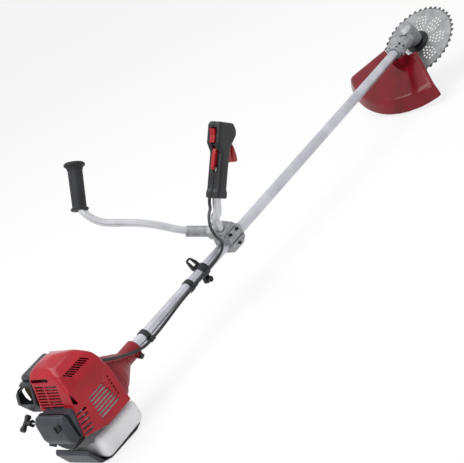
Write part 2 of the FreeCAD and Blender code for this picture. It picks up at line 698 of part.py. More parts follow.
knob_disc = rod("knob_disc", 9, 7, knob_place)
knob_grip = slab("knob_grip", 17, 3.4, 3, knob_place.multiply(at(0, 0, -1)))
knob_stem = rod("knob_stem", 3, cleaner_depth + 5, knob_place)
keep(fused("air_cleaner_knob", knob_disc, knob_grip, knob_stem))

# ---------------------------------------------------------------- recoil starter
recoil_wall = size("recoil_wall", 3, "recoil starter housing wall")
rope_radius = size("rope_radius", 1.6, "starter rope")
rope_level = size("rope_level", 18, "starter rope above the shaft")
grip_out = size("grip_out", 109, "starter grip from the shaft")

recoil_front = boss_rear
recoil_rear = recoil_front - recoil_depth
rope_place = recoil_rear + 11
recoil_cup = turned("recoil_cup", [
    (recoil_front, recoil_radius), (recoil_front, recoil_radius - recoil_wall),
    (recoil_rear + recoil_wall, recoil_radius - recoil_wall), (recoil_rear + recoil_wall, 5),
    (recoil_front - 9, 5), (recoil_front - 9, 0), (recoil_rear, 0), (recoil_rear, recoil_radius - 4),
    (recoil_rear + 4, recoil_radius)])
rope_line = facing(rope_place, 0, rope_level, LEFT)
rope_boss = rod("rope_boss", 6, 20, rope_line.multiply(at(0, 0, recoil_radius - 8)))
recoil_room = pipe("recoil_room", recoil_radius - recoil_wall, 5, recoil_rear + recoil_wall,
                   recoil_depth - recoil_wall)
rope_hole = rod("rope_hole", rope_radius + 1, 50, rope_line.multiply(at(0, 0, 30)))
keep(without("recoil_housing", fused("recoil_blank", recoil_cup, rope_boss), recoil_room, rope_hole))

groove_radius = rope_level - rope_radius - clearance
keep(turned("starter_reel", [
    (rope_place - 6, 5 + running), (rope_place - 6, reel_radius + 3), (rope_place - 3.5, reel_radius + 3),
    (rope_place - 3.5, groove_radius), (rope_place + 3.5, groove_radius),
    (rope_place + 3.5, reel_radius + 3), (rope_place + 6, reel_radius + 3), (rope_place + 6, 5 + running)]))

rope_start = 8
keep(rod("starter_rope", rope_radius, grip_out - rope_start - 12, rope_line.multiply(at(0, 0, rope_start))))

bar_line = Placement(spot(rope_place, grip_out, rope_level), Rotation(FORWARD, Vector(-0.91, 0, -0.41)))
grip_bar = turned("grip_bar", [(-19, 0), (-19, 6), (-15, 7.5), (-6, 5.5), (6, 5.5), (15, 7.5), (19, 6), (19, 0)],
                  bar_line)
neck_line = Placement(spot(rope_place, grip_out, rope_level), Rotation(FORWARD, -LEFT))
grip_neck = turned("grip_neck", [(0, 0), (0, 5), (12, 5), (24, 8), (24, 2.4), (12, 2.4), (12, 0)], neck_line)
keep(fused("starter_grip", grip_bar, grip_neck))

# ---------------------------------------------------------------- fuel tank and its cap
tank_right = size("tank_right", 72, "fuel tank, right side from the shaft")
tank_left = size("tank_left", 62, "fuel tank, left side from the shaft")
tank_low = size("tank_low", 100, "fuel tank, floor below the shaft")
tank_high = size("tank_high", 40, "fuel tank, shoulder below the shaft")
tank_front = size("tank_front", -120, "fuel tank, front end")
tank_rear = size("tank_rear", -256, "fuel tank, rear end")
neck_radius = size("neck_radius", 12, "filler neck")

tank_block = padded("tank_block", "YZ_Plane", [
    (-tank_right, -tank_low), (-tank_right, -tank_high), (tank_left, -tank_high - 14), (tank_left, -tank_low)],
    tank_front - tank_rear, offset=tank_rear, midplane=False)
rounded(tank_block, 19, lambda edge: edge.BoundBox.ZMin < -50 or edge.BoundBox.YMax < 0)
saddle = rod("tank_saddle", fan_housing_radius + 2, 300, facing(tank_rear - 60, 0, 0, FORWARD))
case_room = block("tank_case_room", 200, crankcase_width + 8, 60, tank_rear - 20, -half_case - 4, -53)
rib_room = block("tank_rib_room", 70, 40, 40, crankcase_rear, -rib_reach - 3, -24)
filler = Vector(-0.5, 0.6, 0.62).normalize()
filler_foot = facing(tank_rear + 22, tank_left - 22, -tank_low + 34, filler)
filler_length = 46
filler_neck = rod("filler_neck", neck_radius, filler_length, filler_foot)
filler_bore = rod("filler_bore", neck_radius - 2.5, 40, filler_foot.multiply(at(0, 0, filler_length - 22)))
tank_saddled = without("tank_saddled", tank_block, saddle, case_room)
keep(without("fuel_tank", fused("tank_with_neck", tank_saddled, filler_neck), filler_bore))

cap_place = filler_foot.multiply(at(0, 0, filler_length + clearance))
cap_radius = size("cap_radius", 17.5, "fuel cap")
cap_turn = cap_place.multiply(Placement(Vector(), Rotation(LEFT, -90)))
cap_blank = turned("cap_blank", [
    (-8, 0), (-8, neck_radius - 2.5 - running), (0, neck_radius - 2.5 - running), (0, neck_radius + running),
    (-7, neck_radius + running), (-7, cap_radius), (8, cap_radius), (10, cap_radius - 2), (10, 0)], cap_turn)
flutes = []
for index in range(12):
    angle = math.radians(index * 30)
    flutes.append(rod("cap_flute_%d" % index, 2.2, 30, cap_place.multiply(
        at((cap_radius + 0.9) * math.cos(angle), (cap_radius + 0.9) * math.sin(angle), -10))))
keep(without("fuel_cap", cap_blank, *flutes))

# ---------------------------------------------------------------- stand
stand_thick = size("stand_thick", 5, "stand plate")
stand_width = size("stand_width", 110, "stand across")
rim_low_x = blade_place - guard_reach * math.cos(math.radians(90 - head_angle.value))
rim_low_z = -blade_drop - guard_reach * math.sin(math.radians(90 - head_angle.value))
nose_up = math.degrees(math.atan((-stand_drop.value - rim_low_z.value) / (rim_low_x.value - stand_place.value)))
fall = math.tan(math.radians(nose_up))


def ground(x):
    """Height of the ground under a place on the shaft."""
    return -stand_drop - (x - stand_place) * fall


sole_rear = stand_place - 35
sole_front = stand_place + 55
arm_foot = tank_rear - 6
stand_outline = [
    (arm_foot - 18, -recoil_radius - clearance - 1), (arm_foot - 24, -recoil_radius - 10),
    (arm_foot - 7, -tank_low + 4), (sole_rear, ground(sole_rear)), (sole_front, ground(sole_front)),
    (sole_front + 18, -tank_low - 5), (sole_front + 18, -tank_low - 1),
    (sole_front, ground(sole_front) + stand_thick), (sole_rear + 2, ground(sole_rear) + stand_thick),
    (arm_foot + 4, -tank_low + 3), (arm_foot, -tank_low + 11), (arm_foot - 16, -recoil_radius - 10),
    (arm_foot - 14, -recoil_radius - clearance - 1)]
stand_plate = padded("stand_plate", "XZ_Plane", stand_outline, stand_width)
stand_ribs = [block("stand_rib_%d" % index, 60, 5, 8, sole_rear + 20, -32 + index * 28, -tank_low - 9)
              for index in range(3)]
stand_below = padded("stand_below", "XZ_Plane", [
    (sole_rear - 10, ground(sole_rear - 10)), (sole_front + 10, ground(sole_front + 10)),
    (sole_front + 10, ground(sole_front + 10) - 40), (sole_rear - 10, ground(sole_rear - 10) - 40)], 200)
keep(without("engine_stand", fused("stand_blank", stand_plate, *stand_ribs), stand_below))


# ---------------------------------------------------------------- tubes that bend
def route(name, points, placement=HERE):
    """Straight runs joined by tangent arcs, each arc as large as its two runs allow."""
    corners = [spot(*point) for point in points]
    start = corners[0]
    edges = []
    radii = []
    for before, corner, after in zip(corners, corners[1:], corners[2:]):
        run_in = corner.sub(before)
        run_out = after.sub(corner)
        half_turn = run_in.getAngle(run_out) / 2
        reach = 0.45 * min(run_in.Length, run_out.Length)
        radius = reach / math.tan(half_turn)
        way_in = run_in.normalize()
        way_out = run_out.normalize()
        inward = way_out.sub(way_in).normalize()
        first = corner.sub(Vector(way_in).multiply(reach))
        last = corner.add(Vector(way_out).multiply(reach))
        middle = corner.add(inward.multiply(radius / math.cos(half_turn) - radius))
        edges.append(Part.LineSegment(start, first).toShape())
        edges.append(Part.Arc(first, middle, last).toShape())
        radii.append(round(radius, 1))
        start = last
    edges.append(Part.LineSegment(start, corners[-1]).toShape())
    path = doc.addObject("Part::Feature", name)
    path.Shape = Part.Wire(edges)
    path.Placement = placement
    print(name, "radii", radii, "length", round(path.Shape.Length, 1))
    return path


def swept(name, radius, path, points, placement=HERE):
    """A round bar along a route."""
    ring = doc.addObject("Part::Circle", name + "_section")
    bind(ring, "Radius", radius)
    start = spot(*points[0])
    ring.Placement = placement.multiply(facing(*points[0], spot(*points[1]).sub(start)))
    bar = doc.addObject("Part::Sweep", name)
    bar.Sections = [ring]
    bar.Spine = (path, ["Edge%d" % (index + 1) for index in range(len(path.Shape.Edges))])
    bar.Solid = True
    bar.Frenet = False
    return bar


# ---------------------------------------------------------------- handlebar
bar_wall = size("bar_wall", 1.5, "handlebar tube, wall")
bar_apex_x = size("bar_apex_x", 400, "middle bend of the bar along the shaft")
bar_apex_z = size("bar_apex_z", 40, "middle bend of the bar above the shaft")
throttle_bar = size("throttle_bar", 66, "bar inside the throttle grip")

rolled = Placement(Vector(), Rotation(FORWARD, bar_roll.value))
lean = math.radians(grip_lean.value)
splay = math.radians(grip_splay.value)


def grip_way(side):
    return Vector(math.sin(lean), side * math.cos(lean) * math.sin(splay), math.cos(lean) * math.cos(splay))


def bar_side(side, inside_grip):
    """Bends of one half of the bar, from the clamp out to its end in the grip."""
    foot = (grip_base_x, side * grip_base_y, grip_base_z)
    way = grip_way(side)
    end = tuple(number(foot[index]) + way[index] * inside_grip for index in range(3))
    return [(bar_apex_x - 47, side * 56, bar_apex_z + 36), (bar_apex_x - 101, side * 108, bar_apex_z + 102),
            (grip_base_x + 12, side * (grip_base_y - 28), grip_base_z - 46), foot, end]


bar_points = list(reversed(bar_side(1, grip_length.value - 6)))
bar_points += [(bar_apex_x, 0, bar_apex_z)] + bar_side(-1, throttle_bar.value)
bar_path = route("bar_path", bar_points, rolled)
bar_outside = swept("bar_outside", bar_radius, bar_path, bar_points, rolled)
bar_inside = swept("bar_inside", bar_radius - bar_wall, bar_path, bar_points, rolled)
keep(without("handlebar", bar_outside, bar_inside))


def grip_frame(side):
    """The foot of a grip: local Z up the grip, local X forward, square to it."""
    way = grip_way(side)
    forward = FORWARD.sub(Vector(way).multiply(way.x)).normalize()
    return rolled.multiply(Placement(spot(grip_base_x, side * grip_base_y, grip_base_z),
                                     Rotation(forward, way.cross(forward), way, "ZXY")))


grip_core = bar_radius + running


def bar_room(name, side, inside_grip, placement):
    """The bar with its running gap, from its last bend up into a grip."""
    bends = bar_side(side, inside_grip)[-3:]
    return swept(name, grip_core, route(name + "_path", bends, placement), bends, placement)


stand_up = Placement(Vector(), Rotation(LEFT, -90))
left_rubber = turned("left_rubber", [
    (0, grip_core), (0, 20), (2, 22), (5, 22), (8, 18), (10, 17.5), (grip_length - 20, 18.2),
    (grip_length - 12, 21), (grip_length - 8, 26), (grip_length - 3, 26), (grip_length, 22), (grip_length, 0),
    (grip_length - 5.5, 0), (grip_length - 5.5, grip_core)], grip_frame(1).multiply(stand_up))
keep(without("left_grip", left_rubber, bar_room("left_room", 1, grip_length.value - 6, rolled)))

# ---------------------------------------------------------------- clamp of the bar on the shaft
clamp_length = size("clamp_length", 50, "bar clamp along the shaft")
clamp_half = size("clamp_half", 25, "half width of the bar clamp")
split_gap = size("split_gap", 0.8, "gap between the halves of the clamp")
sleeve_radius = size("sleeve_radius", 14, "arms of the yoke round the bar")

clamp_rear = bar_place - clamp_length + 16
yoke_seat = bar_apex_z - 12
shaft_seat = rod("shaft_seat", tube_radius, 200, facing(clamp_rear - 60, 0, 0, FORWARD))
lower = padded("clamp_lower_block", "YZ_Plane", [
    (-clamp_half, -split_gap), (clamp_half, -split_gap), (clamp_half, -12), (13, -tube_radius - 15),
    (-13, -tube_radius - 15), (-clamp_half, -12)], clamp_length, rolled, clamp_rear, False)
rounded(lower, 6, lambda edge: edge.BoundBox.ZMax < -11)
shaft_seat_low = rod("shaft_seat_low", tube_radius, 200, facing(clamp_rear - 60, 0, 0, FORWARD))
keep(without("clamp_lower", lower, shaft_seat_low))
middle = padded("clamp_middle_block", "YZ_Plane", [
    (-clamp_half, split_gap), (-clamp_half, 17), (-20, yoke_seat), (20, yoke_seat), (clamp_half, 17),
    (clamp_half, split_gap)], clamp_length + 8, rolled, clamp_rear - 8, False)
rounded(middle, 3, along(FORWARD))
bolt_spots = [(clamp_rear + 8, -18.5), (clamp_rear + 38, -18.5), (clamp_rear + 8, 18.5), (clamp_rear + 38, 18.5)]
keep(without("clamp_middle", middle, shaft_seat))

sleeve_path = route("sleeve_path", bar_side(1, 10)[:1] + [(bar_apex_x, 0, bar_apex_z)] + bar_side(-1, 10)[:1], rolled)
sleeve = swept("yoke_sleeve", sleeve_radius, sleeve_path, bar_side(1, 10)[:1] + [(bar_apex_x, 0, bar_apex_z)], rolled)
yoke_block = padded("yoke_block", "XZ_Plane", [
    (clamp_rear - 22, yoke_seat + split_gap), (clamp_rear - 32, bar_apex_z + 14),
    (clamp_rear - 18, bar_apex_z + 24), (clamp_rear + 8, bar_apex_z + 24),
    (clamp_rear + clamp_length - 12, bar_apex_z), (clamp_rear + clamp_length - 8, yoke_seat + split_gap)],
    40, rolled)
rounded(yoke_block, 5, lambda edge: abs(edge.BoundBox.YLength) < 1 and edge.BoundBox.ZMin > yoke_seat.value + 4)
yoke_bore = swept("yoke_bore", grip_core, bar_path, bar_points, rolled)
keep(without("clamp_yoke", fused("yoke_blank", yoke_block, sleeve), yoke_bore))

# ---------------------------------------------------------------- throttle grip
throttle_width = size("throttle_width", 35, "throttle grip across")
pin_radius = size("pin_radius", 2, "pins of the trigger, lever and switch")
pocket_gap = size("pocket_gap", 0.5, "side gap of a control in its pocket")
trigger_width = size("trigger_width", 9, "trigger across")

throttle_frame = grip_frame(-1)
shell = padded("throttle_shell", "XZ_Plane", [
    (-19, 0), (-19, 14), (-16, 20), (-15, 98), (-30, throttle_length - 48), (-30, throttle_length - 6),
    (-24, throttle_length), (22, throttle_length), (34, throttle_length - 13), (36, throttle_length - 26),
    (28, throttle_length - 38), (17, 108), (15, 60), (15, 20), (19, 14), (19, 0)], throttle_width)
rounded(shell, 6, lambda edge: abs(edge.BoundBox.YLength) < 1)
grip_bore = rod("grip_bore", grip_core, throttle_bar + 3, at(0, 0, -1))
cable_seat = (-8, 12)
trigger_pin = at(14, throttle_width / 2 - 3, throttle_length - 43).multiply(Placement(Vector(), Rotation(FORWARD, 90)))
lever_pin = at(-15, throttle_width / 2 - 3, 104).multiply(Placement(Vector(), Rotation(FORWARD, 90)))
switch_pin = at(-26, throttle_width / 2 - 3, 134).multiply(Placement(Vector(), Rotation(FORWARD, 90)))
pin_span = throttle_width - 6
in_grip = throttle_frame.inverse().multiply(rolled)
pockets = [
    grip_bore,
    bar_room("right_room", -1, throttle_bar.value, in_grip),
    rod("cable_socket", cable_radius + running, 14, at(*cable_seat, -2)),
    block("trigger_pocket", 60, trigger_width + pocket_gap * 2, 60, -3, -trigger_width / 2 - pocket_gap, 73),
    block("lever_pocket", 26, 8 + pocket_gap * 2, 55, -33, -4 - pocket_gap, 58),
    block("switch_pocket", 20, 13, 34, -38, -6.5, 117)]
for name, place in (("trigger_eye", trigger_pin), ("lever_eye", lever_pin), ("switch_eye", switch_pin)):
    pockets.append(rod(name, pin_radius + running, pin_span + 1, place.multiply(at(0, 0, -0.5))))
hollow = without("throttle_hollow", shell, *pockets)
left_side = block("left_side", 200, 60, 400, -100, split_gap / 8, -100)
right_side = block("right_side", 200, 60, 400, -100, -60 - split_gap / 8, -100)
keep(shared("throttle_half_left", hollow, left_side), throttle_frame)
keep(shared("throttle_half_right", hollow, right_side), throttle_frame)

trigger = padded("trigger_plate", "XZ_Plane", [
    (9, 128), (22, 128), (31, 118), (36, 100), (43, 84), (38, 80), (26, 86), (17, 98), (8, 112)], trigger_width)
trigger_axle = rod("trigger_axle", pin_radius, pin_span, trigger_pin)
keep(fused("throttle_trigger", trigger, trigger_axle), throttle_frame)
lever = padded("lever_plate", "XZ_Plane", [
    (-19, 108), (-22, 100), (-25, 66), (-20, 61), (-15, 72), (-11, 100), (-11, 108)], 8)
lever_axle = rod("lever_axle", pin_radius, pin_span, lever_pin)
keep(fused("lockout_lever", lever, lever_axle), throttle_frame)
switch = padded("switch_plate", "XZ_Plane", [
    (-33, 119), (-32, 134), (-37, 149), (-27, 149), (-22, 134), (-27, 119)], 12)
switch_axle = rod("switch_axle", pin_radius, pin_span, switch_pin)
keep(fused("stop_switch", switch, switch_axle), throttle_frame)

# ---------------------------------------------------------------- bevel gears in the head
gear_module = size("gear_module", 1.6, "module of the bevel gears")
pinion_teeth = 12
gear_teeth = 19
tooth_face = size("tooth_face", 7, "face width of the bevel teeth")
spindle_radius = size("spindle_radius", 6, "blade spindle")
head_radius = size("head_radius", 26, "gear head round the spindle")
head_height = size("head_height", 75, "gear head above the blade")
neck_outside = size("neck_outside", 20, "gear head round the tube")

tilt = math.radians(head_angle.value)
head = Placement(spot(blade_place, 0, -blade_drop), Rotation(LEFT, head_angle.value - 90))
head_up = head.multiply(stand_up)
apex_height = blade_drop / math.sin(tilt)
apex_place = blade_place - apex_height * math.cos(tilt)

pinion_half = math.degrees(math.atan(math.sin(tilt) / (gear_teeth / pinion_teeth + math.cos(tilt))))
gear_half = head_angle.value - pinion_half
cone_reach = gear_module * pinion_teeth / 2 / math.sin(math.radians(pinion_half))
tip_rise = math.degrees(math.atan(0.85 * gear_module.value / cone_reach.value))
root_fall = math.degrees(math.atan(1.15 * gear_module.value / cone_reach.value))


def bevel_gear(name, teeth, half_angle, bore, hub, hub_length, placement):
    """A bevel gear whose cone points back along X to the origin, teeth drawn from the big end inward."""
    cosine = math.cos(math.radians(half_angle))
    tip = math.tan(math.radians(half_angle + tip_rise))
    root = math.tan(math.radians(half_angle - root_fall))
    pitch = math.tan(math.radians(half_angle))
    big = cone_reach * cosine
    small = (cone_reach - tooth_face) * cosine
    gear = turned(name, [(small, bore), (big, bore), (big + hub_length, bore), (big + hub_length, hub),
                         (big, hub), (big, big * root), (small, small * root)], placement)
    half_tooth = gear_module * math.pi * 0.21 / cone_reach
    sections = []
    for mark, place in (("big", big), ("small", small)):
        section = sketch_on(gear, "YZ_Plane", name + "_tooth_" + mark, place)
        low = place / cosine * half_tooth * 1.6
        wide = place / cosine * half_tooth
        thin = place / cosine * half_tooth * 0.48
        polygon(section, [(-low, place * root * 0.94), (-wide, place * pitch), (-thin, place * tip),
                          (thin, place * tip), (wide, place * pitch), (low, place * root * 0.94)])
        sections.append(section)
    doc.recompute()
    tooth = gear.newObject("PartDesign::AdditiveLoft", name + "_tooth")
    tooth.Profile = sections[0]
    tooth.Sections = [sections[1]]
    tooth.Ruled = True
    gear.Tip = tooth
    ring = gear.newObject("PartDesign::PolarPattern", name + "_teeth")
    ring.Originals = [tooth]
    ring.Axis = ([part for part in gear.Origin.OriginFeatures if part.Role == "X_Axis"][0], [""])
    ring.Angle = 360
    ring.Occurrences = teeth
    gear.Tip = ring
    return gear


pinion_frame = Placement(spot(apex_place, 0, 0), Rotation(UP, 180))
shank_end = tube_front + 2
pinion_big = cone_reach * math.cos(math.radians(pinion_half))
keep(bevel_gear("pinion", pinion_teeth, pinion_half, shaft_radius + running, 6.5,
                apex_place - pinion_big - shank_end, pinion_frame))

gear_frame = head.multiply(at(0, 0, apex_height)).multiply(stand_up).multiply(
    Placement(Vector(), Rotation(FORWARD, 180 / gear_teeth)))
gear_big = cone_reach * math.cos(math.radians(gear_half))
keep(bevel_gear("crown_gear", gear_teeth, gear_half, spindle_radius, 11, 6, gear_frame))

# ---------------------------------------------------------------- gear head casting, bearings and spindle
ball_radius = size("ball_radius", 13, "bearings of the gear head, outside")
ball_width = size("ball_width", 12, "bearings of the gear head, width")
dish_radius = size("dish_radius", 37, "upper blade holder")
dish_height = size("dish_height", 10, "upper blade holder above the blade")

gear_back = apex_height + gear_big
gear_room = gear_back - (cone_reach - tooth_face) * math.cos(math.radians(gear_half))
case_low = dish_height + 2
low_seat = case_low + 3
high_seat = gear_back + 6
half_blade = blade_thick / 2
case_round = turned("head_round", [
    (case_low, 0), (case_low, head_radius - 3), (case_low + 3, head_radius - 1), (30, head_radius),
    (head_height, head_radius), (head_height, 0)], head_up)
neck = turned("head_neck", [
    (tube_front - 52, 0), (tube_front - 52, neck_outside), (tube_front, neck_outside),
    (apex_place - 18, head_radius - 3), (apex_place - 18, 0)])
neck_flange = padded("neck_flange", "YZ_Plane", [
    (-28, -8), (-28, 8), (-16, 22), (16, 22), (28, 8), (28, -8), (16, -22), (-16, -22)], 8,
    offset=tube_front - 44, midplane=False)
rounded(neck_flange, 5, along(FORWARD))
gear_hollow = turned("gear_hollow", [
    (case_low - 2, 0), (case_low - 2, spindle_radius + 2), (low_seat, spindle_radius + 2), (low_seat, ball_radius),
    (low_seat + ball_width, ball_radius), (low_seat + ball_width, 16), (apex_height - 8, 20),
    (high_seat, 20), (head_height + 2, 20), (head_height + 2, 0)], head_up)
pinion_hollow = turned("pinion_hollow", [
    (tube_front - 60, 0), (tube_front - 60, tube_radius), (tube_front, tube_radius), (tube_front, ball_radius),
    (apex_place - pinion_big, ball_radius), (apex_place - 6, ball_radius), (apex_place - 6, 0)])
keep(without("gear_case", fused("head_blank", case_round, neck, neck_flange), gear_hollow, pinion_hollow))

lid = turned("gear_lid", [
    (head_height, 0), (head_height, head_radius), (head_height + 4, head_radius), (head_height + 8, head_radius - 8),
    (head_height + 10, head_radius - 16), (head_height + 10, 0)], head_up)
lid_plug = turned("lid_plug", [
    (high_seat + 1, 9), (high_seat + 1, 20 - running), (head_height, 20 - running), (head_height, 9)], head_up)
lid_neck_room = rod("lid_neck_room", neck_outside + 3 + clearance, 80, facing(tube_front, 0, 0, FORWARD))
keep(without("gear_head_cap", fused("lid_blank", lid, lid_plug), lid_neck_room))

bearings = [
    pipe("pinion_bearing_rear", ball_radius, 6.5 + running, shank_end + 2, ball_width),
    pipe("pinion_bearing_front", ball_radius, 6.5 + running, apex_place - pinion_big - ball_width - 3, ball_width),
    pipe("spindle_bearing", ball_radius, spindle_radius + running, low_seat, ball_width, head_up),
    pipe("spindle_top_bearing", 9, 4 + running, high_seat + 1, head_height - high_seat - 2, head_up)]
keep(grouped("gear_bearings", *bearings))

keep(turned("blade_spindle", [
    (-12, 0), (-12, spindle_radius - 1), (dish_height - 2, spindle_radius - 1), (dish_height - 2, spindle_radius),
    (high_seat, spindle_radius), (high_seat, 4), (head_height - 1, 4), (head_height - 1, 0)], head_up))

# ---------------------------------------------------------------- blade and what clamps it
keep(turned("blade_holder", [
    (-half_blade, spindle_radius - 1), (-half_blade, blade_bore - running), (half_blade, blade_bore - running),
    (half_blade, dish_radius - 3), (half_blade + 2, dish_radius), (half_blade + 4, dish_radius),
    (dish_height - 2, dish_radius - 12), (dish_height, head_radius - 8), (dish_height, 12),
    (dish_height - 2, 12), (dish_height - 2, spindle_radius - 1)], head_up))
holder_low = -half_blade - 4
keep(turned("blade_washer", [
    (-half_blade, spindle_radius - 1), (-half_blade, 26), (-half_blade - 1.5, 26), (holder_low, 20),
    (holder_low, spindle_radius - 1)], head_up))
nut = doc.addObject("Part::Prism", "nut_prism")
nut.Polygon = 6
bind(nut, "Circumradius", 11)
bind(nut, "Height", 7)
nut.Placement = head.multiply(at(0, 0, holder_low - 7))
nut_bore = rod("nut_bore", spindle_radius - 1, 30, head.multiply(at(0, 0, -30)))
keep(without("blade_nut", nut, nut_bore))

blade_teeth = 40
gullet = size("gullet", 9, "depth of the blade's teeth")
blade_plate = doc.addObject("PartDesign::Body", "blade")
disc_sketch = sketch_on(blade_plate, "XY_Plane", "disc_outline")
circle(disc_sketch, 0, 0, blade_radius - gullet)
circle(disc_sketch, 0, 0, blade_bore)
disc = blade_plate.newObject("PartDesign::Pad", "disc")
disc.Profile = disc_sketch
bind(disc, "Length", blade_thick)
disc.Midplane = True
blade_plate.Tip = disc
tooth_sketch = sketch_on(blade_plate, "XY_Plane", "tooth_outline")
tooth_pitch = (blade_radius - gullet) * 2 * math.pi / blade_teeth
polygon(tooth_sketch, [
    (blade_radius - gullet - 3, -tooth_pitch * 0.42), (blade_radius - gullet + 1, -tooth_pitch * 0.30),
    (blade_radius - 1, tooth_pitch * 0.22), (blade_radius, tooth_pitch * 0.30),
    (blade_radius - gullet + 1, tooth_pitch * 0.40), (blade_radius - gullet - 3, tooth_pitch * 0.42)])
blade_tooth = blade_plate.newObject("PartDesign::Pad", "blade_tooth")
blade_tooth.Profile = tooth_sketch
bind(blade_tooth, "Length", blade_thick)
blade_tooth.Midplane = True
blade_plate.Tip = blade_tooth
blade_ring = blade_plate.newObject("PartDesign::PolarPattern", "blade_teeth")
blade_ring.Originals = [blade_tooth]
blade_ring.Axis = ([part for part in blade_plate.Origin.OriginFeatures if part.Role == "Z_Axis"][0], [""])
blade_ring.Angle = 360
blade_ring.Occurrences = blade_teeth
blade_plate.Tip = blade_ring
hole_radius = size("hole_radius", 3.2, "relief holes of the blade")
hole_sketch = sketch_on(blade_plate, "XY_Plane", "hole_outline")
for index in range(5):
    turn = math.radians(index * 8)
    reach = blade_radius - 32 - index * 13
    circle(hole_sketch, reach * math.cos(turn), reach * math.sin(turn), hole_radius)
holes = blade_plate.newObject("PartDesign::Pocket", "holes")
holes.Profile = hole_sketch
holes.Type = 1
holes.Midplane = True
blade_plate.Tip = holes
hole_ring = blade_plate.newObject("PartDesign::PolarPattern", "hole_ring")
hole_ring.Originals = [holes]
hole_ring.Axis = ([part for part in blade_plate.Origin.OriginFeatures if part.Role == "Z_Axis"][0], [""])
hole_ring.Angle = 360
hole_ring.Occurrences = 10
blade_plate.Tip = hole_ring
blade_plate.Placement = head
keep(blade_plate)

# ---------------------------------------------------------------- guard
guard_thick = size("guard_thick", 3, "guard wall")
guard_root = size("guard_root", 84, "inner edge of the guard from the spindle")
guard_crest = size("guard_crest", 57, "inner edge of the guard above the blade")
guard_bend = size("guard_bend", 235, "where the guard turns down")
guard_sweep = size("guard_sweep", 95, "angle of the guard round the spindle")
guard_aside = size("guard_aside", 17.5, "middle of the guard, turned to the left")
bend_height = 42

guard_skin = [(guard_crest, guard_root), (bend_height, guard_bend), (0, guard_reach),
              (0, guard_reach - guard_thick), (bend_height - guard_thick, guard_bend - guard_thick),
              (guard_crest - guard_thick, guard_root)]
guard_body = doc.addObject("PartDesign::Body", "guard_skin")
skin_sketch = sketch_on(guard_body, "XZ_Plane", "guard_profile")
polygon(skin_sketch, guard_skin)
skin = guard_body.newObject("PartDesign::Revolution", "guard_turned")
skin.Profile = skin_sketch
skin.ReferenceAxis = (skin_sketch, ["H_Axis"])
skin.setExpression("Angle", guard_sweep.text)
skin.Midplane = True
guard_body.Tip = skin
guard_turn = Placement(Vector(), Rotation(FORWARD, -guard_aside.value))
guard_body.Placement = head_up.multiply(guard_turn)
lips = []
for side in (-1, 1):
    lip_turn = Placement(Vector(), Rotation(FORWARD, side * guard_sweep.value / 2 - guard_aside.value))
    lip_points = [(guard_crest - 1, guard_root), (bend_height - 1, guard_bend), (2, guard_reach - 2),
                  (2, guard_reach - 12), (bend_height - 16, guard_bend - 8), (guard_crest - 14, guard_root)]
    lips.append(padded("guard_lip_%d" % (side + 1), "XZ_Plane", lip_points, guard_thick, head_up.multiply(lip_turn)))
guard_blank = fused("guard_blank", guard_body, *lips)


def guard_level(reach):
    """Height of the guard's outer face above the blade at a distance from the spindle."""
    return guard_crest - (reach - guard_root) * ((guard_crest - bend_height) / (guard_bend - guard_root))


bolt_radius = size("bolt_radius", 2.5, "bolts of the guard")
bracket_near = guard_root + 4
bracket_far = guard_root + 38
bracket = padded("bracket_block", "XZ_Plane", [
    (-bracket_near, guard_level(bracket_near)), (-bracket_near, head_height + 20),
    (-bracket_far, head_height + 20), (-bracket_far, guard_level(bracket_far))], 38, head)
bracket_seat = rod("bracket_seat", neck_outside, 200, facing(tube_front - 80, 0, 0, FORWARD))
bracket_trim = block("bracket_trim", 200, 80, 60, tube_front - 80, -40, -neck_outside + 6)
flange_room = block("flange_room", 8 + 2 * clearance, 80, 60, tube_front - 44 - clearance, -40, -22 - clearance)
guard_bolts = []
bolt_holes = []
bolt_way = Placement(Vector(), Rotation(FORWARD, 180))
for index, side in enumerate((-12, 12)):
    seat = head.multiply(at(12 - bracket_far, side, guard_level(bracket_far - 12) - guard_thick - 0.7)).multiply(bolt_way)
    guard_bolts.append(socket_screw("guard_bolt_%d" % index, bolt_radius, 12, seat))
    bolt_holes.append(rod("bolt_hole_%d" % index, bolt_radius + running, 14, seat.multiply(at(0, 0, -13))))
keep(without("guard_bracket", bracket, bracket_seat, bracket_trim, flange_room, *bolt_holes))
keep(without("guard", guard_blank, *bolt_holes))
keep(grouped("guard_bolts", *guard_bolts))

# ---------------------------------------------------------------- hanger, bands and throttle cable
cable_side = size("cable_side", 21, "throttle cable from the shaft axis")
band_wall = size("band_wall", 2.2, "cable band")
band_width = size("band_width", 13, "cable band along the shaft")
hanger_place = size("hanger_place", 290, "hanger along the shaft")
hanger_width = size("hanger_width", 22, "hanger band along the shaft")
eye_tilt = size("eye_tilt", 30, "hanger eye leans to the left")
eye_wide = size("eye_wide", 12, "slot of the hanger eye, along the shaft")
eye_tall = size("eye_tall", 18, "slot of the hanger eye, height")

band_rings = []
for index, (place, drop) in enumerate(((40, -8), (229, 1))):
    round_tube = pipe("band_ring_%d" % index, tube_radius + band_wall, tube_radius, place - band_width / 2, band_width)
    round_cable = pipe("band_loop_%d" % index, cable_radius + band_wall, cable_radius + running,
                       place - band_width / 2, band_width, at(0, -cable_side, drop))
    band_room = rod("band_room_%d" % index, tube_radius, 80, facing(place - 40, 0, 0, FORWARD))
    cable_room = rod("cable_room_%d" % index, cable_radius + running, 80, facing(place - 40, -cable_side, drop, FORWARD))
    band_rings.append(without("cable_band_%d" % index, fused("band_blank_%d" % index, round_tube, round_cable),
                              band_room, cable_room))
keep(grouped("cable_bands", *band_rings))

